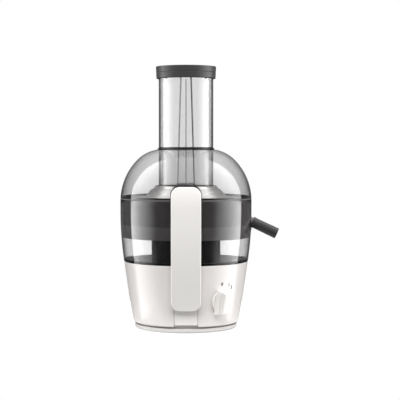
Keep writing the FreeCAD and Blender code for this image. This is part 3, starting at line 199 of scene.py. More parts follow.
@dataclass
class Surface:
    """Vertices in millimetres and faces, waiting to become a piece."""

    vertices: np.ndarray
    faces: np.ndarray

    @classmethod
    def turned(cls, outline: np.ndarray, steps: int) -> "Surface":
        """Surface of revolution: the outline's point (r, z) goes to (r cos t, r sin t, z) for every turn t.

        Args:
            outline: Closed outline of radius and height.
            steps: Divisions of the full turn.

        Returns:
            The closed surface.
        """
        turn = np.linspace(0, 2 * math.pi, steps, endpoint=False)[:, None]
        radius = outline[None, :, 0]
        height = np.broadcast_to(outline[None, :, 1], (steps, len(outline)))
        vertices = np.stack((radius * np.cos(turn), radius * np.sin(turn), height), -1).reshape(-1, 3)
        return cls(vertices, grid_faces(steps, len(outline), True, True))

    @classmethod
    def lofted(cls, sections: np.ndarray) -> "Surface":
        """Skin through equal-count closed sections, closed at both ends on each end section's middle.

        Args:
            sections: Array of section, point and coordinate.

        Returns:
            The closed surface.
        """
        first, last = (np.broadcast_to(section.mean(0), section.shape)[None] for section in sections[[0, -1]])
        rows = np.concatenate((first, sections, last))
        count, points = rows.shape[:2]
        return cls(rows.reshape(-1, 3), grid_faces(count, points, False, True))

    def piece(self, name: str, finish: "Finish", body: Body, slot: Slot, crease: float) -> bpy.types.Object:
        """Make the surface a piece that rides on a body.

        Args:
            name: Name of the piece.
            finish: Finish to dress it in.
            body: Body that it moves with.
            slot: Not used.
            crease: Edges sharper than this many degrees stay sharp.

        Returns:
            The new object.
        """
        mesh = bpy.data.meshes.new(name)
        mesh.from_pydata((self.vertices * MM).tolist(), [], self.faces.tolist())
        work = bmesh.new()
        work.from_mesh(mesh)
        bmesh.ops.remove_doubles(work, verts=work.verts, dist=MERGE_GAP)
        bmesh.ops.recalc_face_normals(work, faces=work.faces)
        work.to_mesh(mesh)
        work.free()
        return add_piece(name, mesh, finish, body, crease)


def add_piece(name: str, mesh: bpy.types.Mesh, finish: "Finish", body: Body,
              crease: float) -> bpy.types.Object:
    """Put a finished mesh into the scene as a dressed piece.

    Args:
        name: Name of the piece.
        mesh: Mesh in metres, in the juicer's own frame.
        finish: Finish to dress it in.
        body: Body that it moves with.
        crease: Edges sharper than this many degrees stay sharp.

    Returns:
        The new object.
    """
    mesh.polygons.foreach_set("use_smooth", np.ones(len(mesh.polygons), bool))
    mesh.set_sharp_from_angle(angle=math.radians(crease))
    mesh.materials.clear()
    mesh.materials.append(finish.material())
    piece = bpy.data.objects.new(name, mesh)
    bpy.context.scene.collection.objects.link(piece)
    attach(piece, body.value)
    LOG.info("piece %s: %d faces on %s", name, len(mesh.polygons), body.value)
    return piece


# Shader wiring


class Wiring:
    """Adds and joins the nodes of one shader tree."""

    def __init__(self, tree: Tree) -> None:
        """Keep the tree to work on."""
        self.tree = tree

    def add(self, kind: str, inputs: dict[Any, Any] | None = None, **settings: Any) -> Node:
        """Add a node, set its options, and fill or link its inputs.

        Args:
            kind: Node type without its ShaderNode prefix.
            inputs: Input name or number to a socket to link or a value to set.
            settings: Options of the node.

        Returns:
            The new node.
        """
        node = self.tree.nodes.new("ShaderNode" + kind)
        for option, value in settings.items():
            setattr(node, option, value)
        self.fill(node, inputs or {})
        return node

    def fill(self, node: Node, inputs: dict[Any, Any]) -> None:
        """Link or set inputs of a node.

        Args:
            node: Node to fill in.
            inputs: Input name or number to a socket to link or a value to set.
        """
        for key, value in inputs.items():
            if isinstance(value, Socket):
                self.link(value, node.inputs[key])
            else:
                node.inputs[key].default_value = value

    def math(self, operation: str, *terms: Any) -> Socket:
        """Output of a Math node over sockets and numbers."""
        return self.add("Math", dict(enumerate(terms)), operation=operation).outputs[0]

    def link(self, source: Socket, target: Socket) -> None:
        """Join an output to an input."""
        self.tree.links.new(source, target)

    def parts(self, vector: Socket) -> Any:
        """X, Y and Z of a vector."""
        return self.add("SeparateXYZ", {0: vector}).outputs

    def noise(self, place: Socket, scale: Any, detail: float) -> Socket:
        """Noise in space, at a scale."""
        return self.add("TexNoise", {"Vector": place, "Scale": scale, "Detail": detail}).outputs[0]

    def line_noise(self, along: Socket, detail: float) -> Socket:
        """Noise along a single number."""
        inputs = {"W": along, "Scale": 1.0, "Detail": detail}
        return self.add("TexNoise", inputs, noise_dimensions="1D").outputs[0]

    def span(self, value: Any, low: float, high: float, out_low: float, out_high: float) -> Socket:
        """A value mapped from one range to another, clamped."""
        names = ("Value", "From Min", "From Max", "To Min", "To Max")
        return self.add("MapRange", dict(zip(names, (value, low, high, out_low, out_high)))).outputs[0]

    def mix(self, share: Any, first: Any, second: Any) -> Socket:
        """Colour mixed from first to second by a share."""
        node = self.add("Mix", {0: share, 6: first, 7: second}, data_type="RGBA")
        return node.outputs[2]

    def group(self, tree: Tree, inputs: dict[str, Any]) -> Node:
        """Place a node group with its own input values."""
        return self.add("Group", inputs, node_tree=tree)


class Coat(Wiring):
    """Wiring of one material, with the place on its piece, its shader and its output."""

    def __init__(self, tree: Tree) -> None:
        """Start with a plain shader that is joined to the output.

        Args:
            tree: Node tree of the material.
        """
        super().__init__(tree)
        self.place = self.add("TexCoord").outputs["Object"]
        self.shader = self.add("BsdfPrincipled")
        self.output = self.add("OutputMaterial", {"Surface": self.shader.outputs[0]})

    def looks(self, inputs: dict[str, Any]) -> None:
        """Link or set inputs of the shader."""
        self.fill(self.shader, inputs)

    def bump(self, height: Socket, strength: float, depth: float) -> None:
        """Feed a height into the shader's normal.

        Args:
            height: Height between 0 and 1.
            strength: Strength of the bump.
            depth: Height of 1 in metres.
        """
        node = self.add("Bump", {"Strength": strength, "Distance": depth, "Height": height})
        self.looks({"Normal": node.outputs[0]})


class Effects:
    """Shared surface effects, each built once as a node group."""

    @staticmethod
    def start(name: str, inputs: dict[str, tuple[str, Any]],
              outputs: Sequence[str]) -> tuple[Wiring, Any, Any]:
        """Open a new node group.

        Args:
            name: Name of the group.
            inputs: Input name to socket kind and default value.
            outputs: Names of the value outputs.

        Returns:
            The wiring, the group's input sockets and the group's output node.
        """
        tree = bpy.data.node_groups.new(name, "ShaderNodeTree")
        for label, (kind, value) in inputs.items():
            socket = tree.interface.new_socket(label, in_out="INPUT", socket_type="NodeSocket" + kind)
            if value is not None:
                socket.default_value = value
        for label in outputs:
            tree.interface.new_socket(label, in_out="OUTPUT", socket_type="NodeSocketFloat")
        wiring = Wiring(tree)
        entry = tree.nodes.new("NodeGroupInput").outputs
        leave = tree.nodes.new("NodeGroupOutput").inputs
        return wiring, entry, leave

    @classmethod
    @cache
    def grain(cls) -> Tree:
        """Moulding grain: fine noise as height, and broad noise as patches.

        Returns:
            The node group.
        """
        wiring, entry, leave = cls.start(
            "moulding_grain",
            {"Place": ("Vector", None), "Fine": ("Float", 1500.0), "Broad": ("Float", 28.0)},
            ("Height", "Patch"))
        fine = wiring.noise(entry["Place"], entry["Fine"], 3.0)
        broad = wiring.noise(entry["Place"], entry["Broad"], 4.0)
        wiring.link(fine, leave["Height"])
        wiring.link(wiring.span(broad, 0.15, 0.85, 0.0, 1.0), leave["Patch"])
        return wiring.tree

    @classmethod
    @cache
    def settled_dust(cls) -> Tree:
        """Dust: faces that look up, broken by noise, between 0 and the stated amount.

        Returns:
            The node group.
        """
        wiring, entry, leave = cls.start(
            "settled_dust", {"Place": ("Vector", None), "Amount": ("Float", 0.1)}, ("Mask",))
        upward = wiring.parts(wiring.add("NewGeometry").outputs["Normal"])[2]
        noise = wiring.noise(entry["Place"], 160.0, 5.0)
        lying = wiring.span(upward, 0.35, 1.0, 0.0, 1.0)
        broken = wiring.math("MULTIPLY", lying, wiring.span(noise, 0.4, 0.75, 0.2, 1.0))
        wiring.link(wiring.math("MULTIPLY", broken, entry["Amount"]), leave["Mask"])
        return wiring.tree

    @classmethod
    @cache
    def turning(cls) -> Tree:
        """Lathe lines by distance from the Z axis plus height, and streaks by the turn about it.

        Returns:
            The node group.
        """
        wiring, entry, leave = cls.start(
            "turning_lines", {"Place": ("Vector", None), "Lines": ("Float", 2500.0)}, ("Height", "Streak"))
        parts = wiring.parts(entry["Place"])
        square = wiring.math("ADD", wiring.math("MULTIPLY", parts[0], parts[0]),
                             wiring.math("MULTIPLY", parts[1], parts[1]))
        radius = wiring.math("SQRT", square)
        along = wiring.math("MULTIPLY", wiring.math("ADD", radius, parts[2]), entry["Lines"])
        turn = wiring.math("ARCTAN2", parts[1], parts[0])
        streak = wiring.line_noise(wiring.math("MULTIPLY", turn, 9.0), 3.0)
        wiring.link(wiring.line_noise(along, 2.0), leave["Height"])
        wiring.link(streak, leave["Streak"])
        return wiring.tree

    @classmethod
    @cache
    def holes(cls) -> Tree:
        """Round holes in staggered rows round the Z axis: 1 inside a hole, 0 on the sheet.

        Returns:
            The node group.
        """
        wiring, entry, leave = cls.start(
            "hole_rows", {"Place": ("Vector", None), "Count": ("Float", 230.0), "Pitch": ("Float", 0.0019),
                          "Open": ("Float", 0.3)}, ("Hole",))
        parts = wiring.parts(entry["Place"])
        turn = wiring.math("DIVIDE", wiring.math("ARCTAN2", parts[1], parts[0]), 2 * math.pi)
        row = wiring.math("DIVIDE", parts[2], entry["Pitch"])
        shift = wiring.math("MULTIPLY", wiring.math("MODULO", wiring.math("FLOOR", row), 2.0), 0.5)
        column = wiring.math("MULTIPLY", turn, entry["Count"])
        across = wiring.math("FRACT", wiring.math("ADD", column, shift))
        up = wiring.math("FRACT", row)
        offsets = [wiring.math("SUBTRACT", value, 0.5) for value in (across, up)]
        squares = [wiring.math("MULTIPLY", value, value) for value in offsets]
        distance = wiring.math("SQRT", wiring.math("ADD", *squares))
        edge = wiring.math("SUBTRACT", distance, entry["Open"])
        wiring.link(wiring.span(edge, -0.04, 0.04, 1.0, 0.0), leave["Hole"])
        return wiring.tree


# Finishes


@dataclass(frozen=True)
class Finish:
    """A finish that builds its material once."""

    name: str

    def material(self) -> bpy.types.Material:
        """The finish's material, made at its first use.

        Returns:
            The material.
        """
        name = f"{self.name}_finish"
        found = bpy.data.materials.get(name)
        if found:
            return found
        material = bpy.data.materials.new(name)
        material.use_nodes = True
        material.node_tree.nodes.clear()
        self.wire(Coat(material.node_tree))
        return material

    def wire(self, coat: Coat) -> None:
        """Fill in the shader; each kind of finish has its own way."""
        raise NotImplementedError


@dataclass(frozen=True)
class Moulded(Finish):
    """Moulded plastic or rubber with grain, faint patches and a little dust."""

    colour: Colour = (0.8, 0.8, 0.8)
    roughness: float = 0.3
    spread: float = 0.06
    dust: float = 0.05
    grain: float = 0.08
    fine: float = 1500.0
    dust_colour: Colour = (0.62, 0.6, 0.57)
    worn: float = 0.94
    gloss: float = 0.5
    # height, colour and edge of a band of painted sheen, lighter below the height
    band_height: float = 0.0
    band_colour: Colour = (0.1, 0.1, 0.1)
    band_edge: float = 0.0006
    dust_roughness: float = 0.5
    grain_depth: float = 0.0002

    def wire(self, coat: Coat) -> None:
        """Colour from patches and dust, roughness from both, normal from grain.

        Below a set height a finish can take a second colour; on the collector this lighter band is painted
        sheen.

        Args:
            coat: Wiring of the material.
        """
        grain = coat.group(Effects.grain(), {"Place": coat.place, "Fine": self.fine}).outputs
        dust = coat.group(Effects.settled_dust(), {"Place": coat.place, "Amount": self.dust}).outputs
        worn = tuple(part * self.worn for part in self.colour)
        colour = coat.mix(grain["Patch"], (*self.colour, 1), (*worn, 1))
        # painted sheen: a lighter colour below the set height
        if self.band_height:
            low, high = self.band_height - self.band_edge, self.band_height + self.band_edge
            below = coat.span(coat.parts(coat.place)[2], low, high, 1.0, 0.0)
            colour = coat.mix(below, colour, (*self.band_colour, 1))
        colour = coat.mix(dust["Mask"], colour, (*self.dust_colour, 1))
        smooth, rough = self.roughness - self.spread, self.roughness + self.spread
        patchy = coat.span(grain["Patch"], 0.0, 1.0, smooth, rough)
        dusty = coat.math("MULTIPLY", dust["Mask"], self.dust_roughness)
        coat.looks({"Base Color": colour, "Roughness": coat.math("ADD", patchy, dusty),
                    "Specular IOR Level": self.gloss})
        coat.bump(grain["Height"], self.grain, self.grain_depth)


@dataclass(frozen=True)
class SmokedClear(Finish):
    """Clear plastic, smoked through its thickness, with a painted line of shade along the joint of dome and
    tube, and faint flow waves.
    """

    tint: float = 0.985
    joint: float = 1.0
    # joint height and reach place the painted shade line at the dome-to-tube joint
    joint_reach: tuple[float, float] = (0.0016, 0.0026)
    joint_shade: float = 0.06
    density: float = 34.0
    smoke: Colour = (0.03, 0.03, 0.035)
    ior: float = 1.49
    polish: tuple[float, float] = (0.004, 0.022)
    flow: tuple[float, float] = (22.0, 60.0)
    wave: float = 0.006
    wave_depth: float = 0.001

    def shade(self, coat: Coat) -> Socket:
        """Even tint, with a painted dark line of shade where dome and tube are joined.

        Args:
            coat: Wiring of the material.

        Returns:
            Grey level of the plastic.
        """
        height = coat.parts(coat.place)[2]
        distance = coat.math("ABSOLUTE", coat.math("SUBTRACT", height, self.joint))
        # painted shade: the grey level drops near the joint height
        clear = coat.span(distance, *self.joint_reach, self.joint_shade, 1.0)
        return coat.math("MULTIPLY", clear, self.tint)

    def wire(self, coat: Coat) -> None:
        """Plain transmission, tint by place, absorption in the wall, roughness and normal from noise.

        Args:
            coat: Wiring of the material.
        """
        fine, broad = self.flow
        grain = coat.group(Effects.grain(), {"Place": coat.place, "Fine": fine, "Broad": broad}).outputs
        coat.looks({"Base Color": self.shade(coat), "Transmission Weight": 1.0, "IOR": self.ior,
                    "Roughness": coat.span(grain["Patch"], 0.0, 1.0, *self.polish)})
        coat.bump(grain["Height"], self.wave, self.wave_depth)
        smoke = coat.add("VolumeAbsorption", {"Color": (*self.smoke, 1), "Density": self.density})
        coat.link(smoke.outputs[0], coat.output.inputs["Volume"])


@dataclass(frozen=True)
class GroovedClear(SmokedClear):
    """Clear plastic of the pusher, with painted shade along the two edges of its tapering groove."""

    bottom: float = 0.183
    top: float = 0.3841
    half_bottom: float = 0.0135
    half_top: float = 0.0073
    # width of the painted shade lines, the painted light on the left one, and the front reach where they show
    line_reach: tuple[float, float] = (0.0004, 0.0012)
    left_lift: float = 0.2
    front: tuple[float, float] = (-0.033, -0.032)

    def shade(self, coat: Coat) -> Socket:
        """Tint with painted shade near the groove's edges, where the place across equals the groove's half
        width.

        The left line gets painted light, so it is a little lighter than the right one, and only the front of
        the tube has these painted lines.

        Args:
            coat: Wiring of the material.

        Returns:
            Grey level of the plastic.
        """
        parts = coat.parts(coat.place)
        half = coat.span(parts[2], self.bottom, self.top, self.half_bottom, self.half_top)
        distance = coat.math("ABSOLUTE", coat.math("SUBTRACT", coat.math("ABSOLUTE", parts[0]), half))
        # painted shade along the groove's edges, with painted light lifting the left edge
        line = coat.math("ADD", coat.span(distance, *self.line_reach, 0.0, 1.0),
                         coat.span(parts[0], -MM, MM, self.left_lift, 0.0))
        behind = coat.span(parts[1], *self.front, 0.0, 1.0)
        clear = coat.math("MINIMUM", coat.math("MAXIMUM", line, behind), 1.0)
        return coat.math("MULTIPLY", clear, self.tint)


@dataclass(frozen=True)
class TurnedSteel(Finish):
    """Bare steel with lathe lines and streaks round the axis."""

    colour: Colour = (0.72, 0.71, 0.7)
    roughness: float = 0.2
    lines: float = 2500.0
    depth: float = 0.12
    line_depth: float = 0.0001
    streak: float = 0.86
    brightest: float = 0.75
    dullest: float = 1.3

    def wire(self, coat: Coat) -> None:
        """Metal whose roughness and normal follow the lathe lines.

        Args:
            coat: Wiring of the material.
        """
        turning = coat.group(Effects.turning(), {"Place": coat.place, "Lines": self.lines}).outputs
        shade = tuple(part * self.streak for part in self.colour)
        colour = coat.mix(turning["Streak"], (*self.colour, 1), (*shade, 1))
        bright, dull = self.roughness * self.brightest, self.roughness * self.dullest
        coat.looks({"Metallic": 1.0, "Base Color": colour,
                    "Roughness": coat.span(turning["Height"], 0.2, 0.8, bright, dull)})
        coat.bump(turning["Height"], self.depth, self.line_depth)


@dataclass(frozen=True)
class Perforated(TurnedSteel):
    """Thin steel sheet with rows of fine holes."""

    def wire(self, coat: Coat) -> None:
        """Steel that is open inside each hole.

        Args:
            coat: Wiring of the material.
        """
        super().wire(coat)
        holes = coat.group(Effects.holes(), {"Place": coat.place}).outputs
        coat.looks({"Alpha": coat.math("SUBTRACT", 1.0, holes["Hole"])})


@dataclass(frozen=True)
class Wound(Finish):
    """Layers of varnished wire, as ridges along one direction."""

    colour: Colour = (0.5, 0.2, 0.09)
    ridges: float = 150.0
    direction: Along = Along.UP
    metal: float = 0.85
    waver: float = 0.6
    # how dark the painted shade between the wires is
    shadow: float = 0.35
    between: float = 0.55
    crest: float = 0.28
    relief: float = 0.6
    wire_depth: float = 0.0004

    def wire(self, coat: Coat) -> None:
        """Metal in ridges, rougher between the wires and darkened there by painted shade.

        Args:
            coat: Wiring of the material.
        """
        rows = {"Vector": coat.place, "Scale": self.ridges, "Distortion": self.waver, "Detail": 1.0}
        wave = coat.add("TexWave", rows, bands_direction=self.direction.value).outputs[1]
        # painted shade: darker colour between the wires
        dark = tuple(part * self.shadow for part in self.colour)
        coat.looks({"Metallic": self.metal, "Base Color": coat.mix(wave, (*dark, 1), (*self.colour, 1)),
                    "Roughness": coat.span(wave, 0.0, 1.0, self.between, self.crest)})
        coat.bump(wave, self.relief, self.wire_depth)


WHITE = Moulded("white_gloss", (0.72, 0.69, 0.675), roughness=0.25, spread=0.02, dust=0.0, grain=0.03,
                worn=1.0, gloss=1.0)
ARM_WHITE = Moulded("white_satin", (0.83, 0.81, 0.785), roughness=0.5, spread=0.03, dust=0.0, grain=0.05,
                    worn=0.99)
PALE = Moulded("pale_satin", (0.62, 0.605, 0.59), roughness=0.36, spread=0.05, dust=0.02, grain=0.08)
DARK = Moulded("dark_gloss", (0.042, 0.04, 0.04), roughness=0.16, spread=0.04, dust=0.02, grain=0.04)
CAP_DARK = Moulded("cap_satin", (0.05, 0.048, 0.048), roughness=0.36, spread=0.06, dust=0.02, grain=0.1)
# the collector's lighter lower band is painted sheen
COLLECTOR_DARK = Moulded("collector_gloss", (0.17, 0.157, 0.157), roughness=0.14, spread=0.03, dust=0.0,
                         grain=0.03, band_height=0.1586, band_colour=(0.25, 0.235, 0.235))
BLACK = Moulded("pillar_black", (0.006, 0.006, 0.006), roughness=0.5, spread=0.05, dust=0.01, grain=0.05,
                gloss=0.1)
RUBBER = Moulded("black_rubber", (0.02, 0.02, 0.021), roughness=0.75, spread=0.08, dust=0.12, grain=0.25,
                 fine=900.0)
INNER = Moulded("inner_moulding", (0.1, 0.1, 0.11), roughness=0.55, spread=0.08, dust=0.08, grain=0.15)
CARBON = Moulded("pressed_carbon", (0.015, 0.015, 0.016), roughness=0.65, spread=0.1, dust=0.0, grain=0.3,
                 fine=2500.0)
INK = Moulded("printed_grey", (0.012, 0.012, 0.014), roughness=0.6, spread=0.05, dust=0.0, grain=0.05,
              gloss=0.05)
# low tint on the clear guide rib: painted shade that darkens it into a dark line
CLEAR = SmokedClear("rib_painted_shade", tint=0.62)
# the pusher's groove edges carry painted shade
PUSHER_CLEAR = GroovedClear("pusher_painted_edges", density=8.0, ior=1.2)
LID_CLEAR = SmokedClear("smoked_lid", joint=0.2746, density=90.0)
BOWL_CLEAR = SmokedClear("smoked_bowl", tint=0.97, density=60.0)
POLISHED = TurnedSteel("polished_steel", (0.72, 0.7, 0.69), roughness=0.3, lines=2200.0, depth=0.1)
PLAIN = TurnedSteel("plain_steel", (0.6, 0.6, 0.6), roughness=0.32, lines=3000.0, depth=0.15)
LAMINATED = TurnedSteel("laminated_steel", (0.3, 0.3, 0.31), roughness=0.45, lines=2000.0, depth=0.5)
CAST = TurnedSteel("cast_metal", (0.62, 0.62, 0.63), roughness=0.48, lines=900.0, depth=0.2)
MESH_STEEL = Perforated("perforated_steel", (0.72, 0.71, 0.7), roughness=0.24)
COPPER = Wound("wound_copper")
BARS = Wound("copper_bars", (0.62, 0.3, 0.14), ridges=70.0, direction=Along.ACROSS)


# Sub-assemblies


def dress(nodes: Sequence[str], finish: Finish) -> None:
    """Give CAD nodes a finish.

    Args:
        nodes: Names of the nodes.
        finish: Finish for all of them.
    """
    for name in nodes:
        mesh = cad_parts[name].data
        mesh.materials.clear()
        mesh.materials.append(finish.material())
        LOG.info("node %s: %s", name, finish.name)


@dataclass
class Lid:
    """Clear dome and feed tube in one moulding, with its guide rib and two lugs."""

    tube_inner: float = 41.1
    tube_outer: float = 41.9
    tube_bottom: float = 180.0
    tube_top: float = 381.3
    tube_end: float = 5.0
    lip: float = 0.2
    bottom: float = 199.0
    wall: float = 2.4
    crown_wall: float = 0.7
    side_radius: float = 90.0
    side_centre: Point = (10.9, 194.0)
    shoulder_radius: float = 55.0
    shoulder_centre: Point = (35.65, 218.75)
    joint_hollow: float = 1.0
    rib_half: float = 1.0
    rib_reach: tuple[float, float] = (38.0, 41.05)
    rib_round: float = 0.6
    rib_root: float = 0.1
    rib_bottom: float = 180.5
    rib_top: float = 378.3
    lug_outline: tuple[tuple[float, float, float], ...] = (
        (100.75, 199.85, 0.3), (105.35, 199.85, 0.8), (105.35, 205.2, 0.8), (100.3, 206.45, 0.1))
    lug_half: float = 12.0
    lug_bevel: float = 0.5
    lug_taper: float = 0.94
    side_steps: int = 28
    shoulder_steps: int = 24
    joint_steps: int = 6
    turn_steps: int = 224
    crease: float = 50.0

    def dome(self, inset: float) -> np.ndarray:
        """Profile of the dome from its lower edge to the tube: two arcs that meet on one tangent.

        Args:
            inset: Distance inward from the outer face.

        Returns:
            Points of radius and height.
        """
        side = self.side_radius - inset
        shoulder = self.shoulder_radius - inset
        across = self.shoulder_centre[0] - self.side_centre[0]
        up = self.shoulder_centre[1] - self.side_centre[1]
        far = (self.side_centre[0] + 2 * across, self.side_centre[1] + 2 * up)
        rise = self.bottom - self.side_centre[1]
        foot = (self.side_centre[0] + math.sqrt(side ** 2 - rise ** 2), self.bottom)
        reach = self.tube_outer - self.shoulder_centre[0]
        top = (self.tube_outer, self.shoulder_centre[1] + math.sqrt(shoulder ** 2 - reach ** 2))
        low = arc_points(self.side_centre, side, foot, far, self.side_steps)
        change = tuple(low[-1])
        high = arc_points(self.shoulder_centre, shoulder, change, top, self.shoulder_steps)
        return np.concatenate((low, high[1:]))

    def shell(self) -> Surface:
        """Closed profile of dome and tube, turned about the axis; the outer joint has a small hollow.

        The dome's wall thins evenly from its lower edge to the tube.

        Returns:
            The closed surface.
        """
        outer = self.dome(0.0)[:-1]
        thick = self.dome(self.wall)
        thin = self.dome(self.crown_wall)
        share = np.linspace(0, 1, len(thick))[:, None]
        inner = (thick + (thin - thick) * share)[::-1]
        top = self.dome(0.0)[-1, 1]
        hollow = self.joint_hollow
        joint = arc_points((self.tube_outer + hollow, top + hollow), hollow,
                           (self.tube_outer + hollow, top), (self.tube_outer, top + hollow),
                           self.joint_steps)
        near_top, near_bottom = self.tube_top - self.tube_end, self.tube_bottom + self.tube_end
        rim = wall_end(self.tube_outer, self.tube_inner, near_top, self.tube_top, self.lip)
        foot = wall_end(self.tube_inner, self.tube_outer, near_bottom, self.tube_bottom, self.lip)
        keep = outer[:, 0] > self.tube_outer + hollow
        return Surface.turned(np.concatenate((outer[keep], joint, rim, foot, inner)), self.turn_steps)

    def rib(self) -> Surface:
        """Guide rib: a rounded rectangle carried up the inside of the tube.

        Returns:
            The rib's surface.
        """
        near, far = self.rib_reach
        half = self.rib_half
        outline = rounded_outline([(-half, -near, self.rib_round), (half, -near, self.rib_round),
                                   (half, -far, self.rib_root), (-half, -far, self.rib_root)])
        heights = (self.rib_bottom, self.rib_top)
        sections = [np.column_stack((outline, np.full(len(outline), height))) for height in heights]
        return Surface.lofted(np.array(sections))

    def lug(self, facing: Facing) -> Surface:
        """Clamp lug: a sloped outline carried across the width, a little smaller at both ends.

        Args:
            facing: Front or rear lug.

        Returns:
            The lug's surface.
        """
        outline = rounded_outline(self.lug_outline)
        half, full = self.lug_half, self.lug_half - self.lug_bevel
        widths = [(-half, self.lug_taper), (-full, 1.0), (full, 1.0), (half, self.lug_taper)]
        middle = outline.mean(0)
        sections = []
        for across, scale in widths:
            flat = middle + (outline - middle) * scale
            along = flat[:, 0] * facing.value
            sections.append(np.column_stack((np.full(len(flat), across), along, flat[:, 1])))
        return Surface.lofted(np.array(sections))

    def build(self) -> None:
        """Make the lid's pieces and let the shell stand for the plain lid."""
        shell = self.shell().piece("lid_shell", LID_CLEAR, Body.BASE, Slot.CLEAR, self.crease)
        self.rib().piece("lid_guide_rib", CLEAR, Body.BASE, Slot.CLEAR, self.crease)
        for facing in Facing:
            name = f"lid_lug_{facing.name.lower()}"
            self.lug(facing).piece(name, LID_CLEAR, Body.BASE, Slot.CLEAR, self.crease)
        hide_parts("lid")
        dress(["lid_seal"], RUBBER)


@dataclass
class Pusher:
    """Clear pusher tube with a tapering groove at the front, and its dark cap."""

    radius: float = 40.7
    wall: float = 0.9
    bottom: float = 183.0
    floor: float = 185.5
    top: float = 384.1
    groove_reach: float = 36.4
    channel_reach: float = 34.4
    groove_top: float = 7.3
    groove_bottom: float = 13.5
    channel_side: float = 2.0
    slant: float = 1.3
    corner_gap: float = 0.02
    round_points: int = 180
    floor_points: int = 13
    sections: int = 24
    crease: float = 35.0

    def half(self, height: np.ndarray) -> np.ndarray:
        """Half width of the groove, which tapers evenly upwards."""
        share = (height - self.bottom) / (self.top - self.bottom)
        return self.groove_bottom + (self.groove_top - self.groove_bottom) * share

    def section(self, heights: np.ndarray, radius: float, reach: float, extra: float,
                slant: float) -> np.ndarray:
        """Sections of a round tube with a flat-bottomed channel at the front.

        A point at turn t is (r sin t, -r cos t) outside the channel; the channel's sides slant in to its flat
        floor. The channel is never wider than the flat that its floor cuts from the circle.

        Args:
            heights: Heights of the sections.
            radius: Radius of the tube.
            reach: Distance of the channel floor from the axis.
            extra: Width added to each side of the groove.
            slant: Width added to each side of its mouth.

        Returns:
            Array of section, point and coordinate.
        """
        flat = math.sqrt(radius ** 2 - reach ** 2)
        half = np.minimum(self.half(heights) + extra, flat - self.corner_gap)[:, None]
        edge = np.arcsin((half + slant) / radius)
        turn = edge + (2 * math.pi - 2 * edge) * np.linspace(0, 1, self.round_points)[None, :]
        line = half * np.linspace(-1, 1, self.floor_points)[None, :]
        across = np.concatenate((radius * np.sin(turn), line), 1)
        floor = np.full(line.shape, -reach)
        along = np.concatenate((-radius * np.cos(turn), floor), 1)
        height = np.broadcast_to(heights[:, None], across.shape)
        return np.stack((across, along, height), -1)

    def build(self) -> None:
        """Make the sleeve, which stands for the plain tube, and dress the cap."""
        rise = np.linspace(self.bottom, self.top, self.sections)
        outer = self.section(rise, self.radius, self.groove_reach, 0.0, self.slant)
        fall = np.linspace(self.top, self.floor, self.sections)
        inner = self.section(fall, self.radius - self.wall, self.channel_reach, self.channel_side, 0.0)
        sleeve = Surface.lofted(np.concatenate((outer, inner)))
        piece = sleeve.piece("pusher_sleeve", PUSHER_CLEAR, Body.PUSHER, Slot.CLEAR, self.crease)
        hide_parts("pusher_tube")
        dress(["pusher_cap"], CAP_DARK)


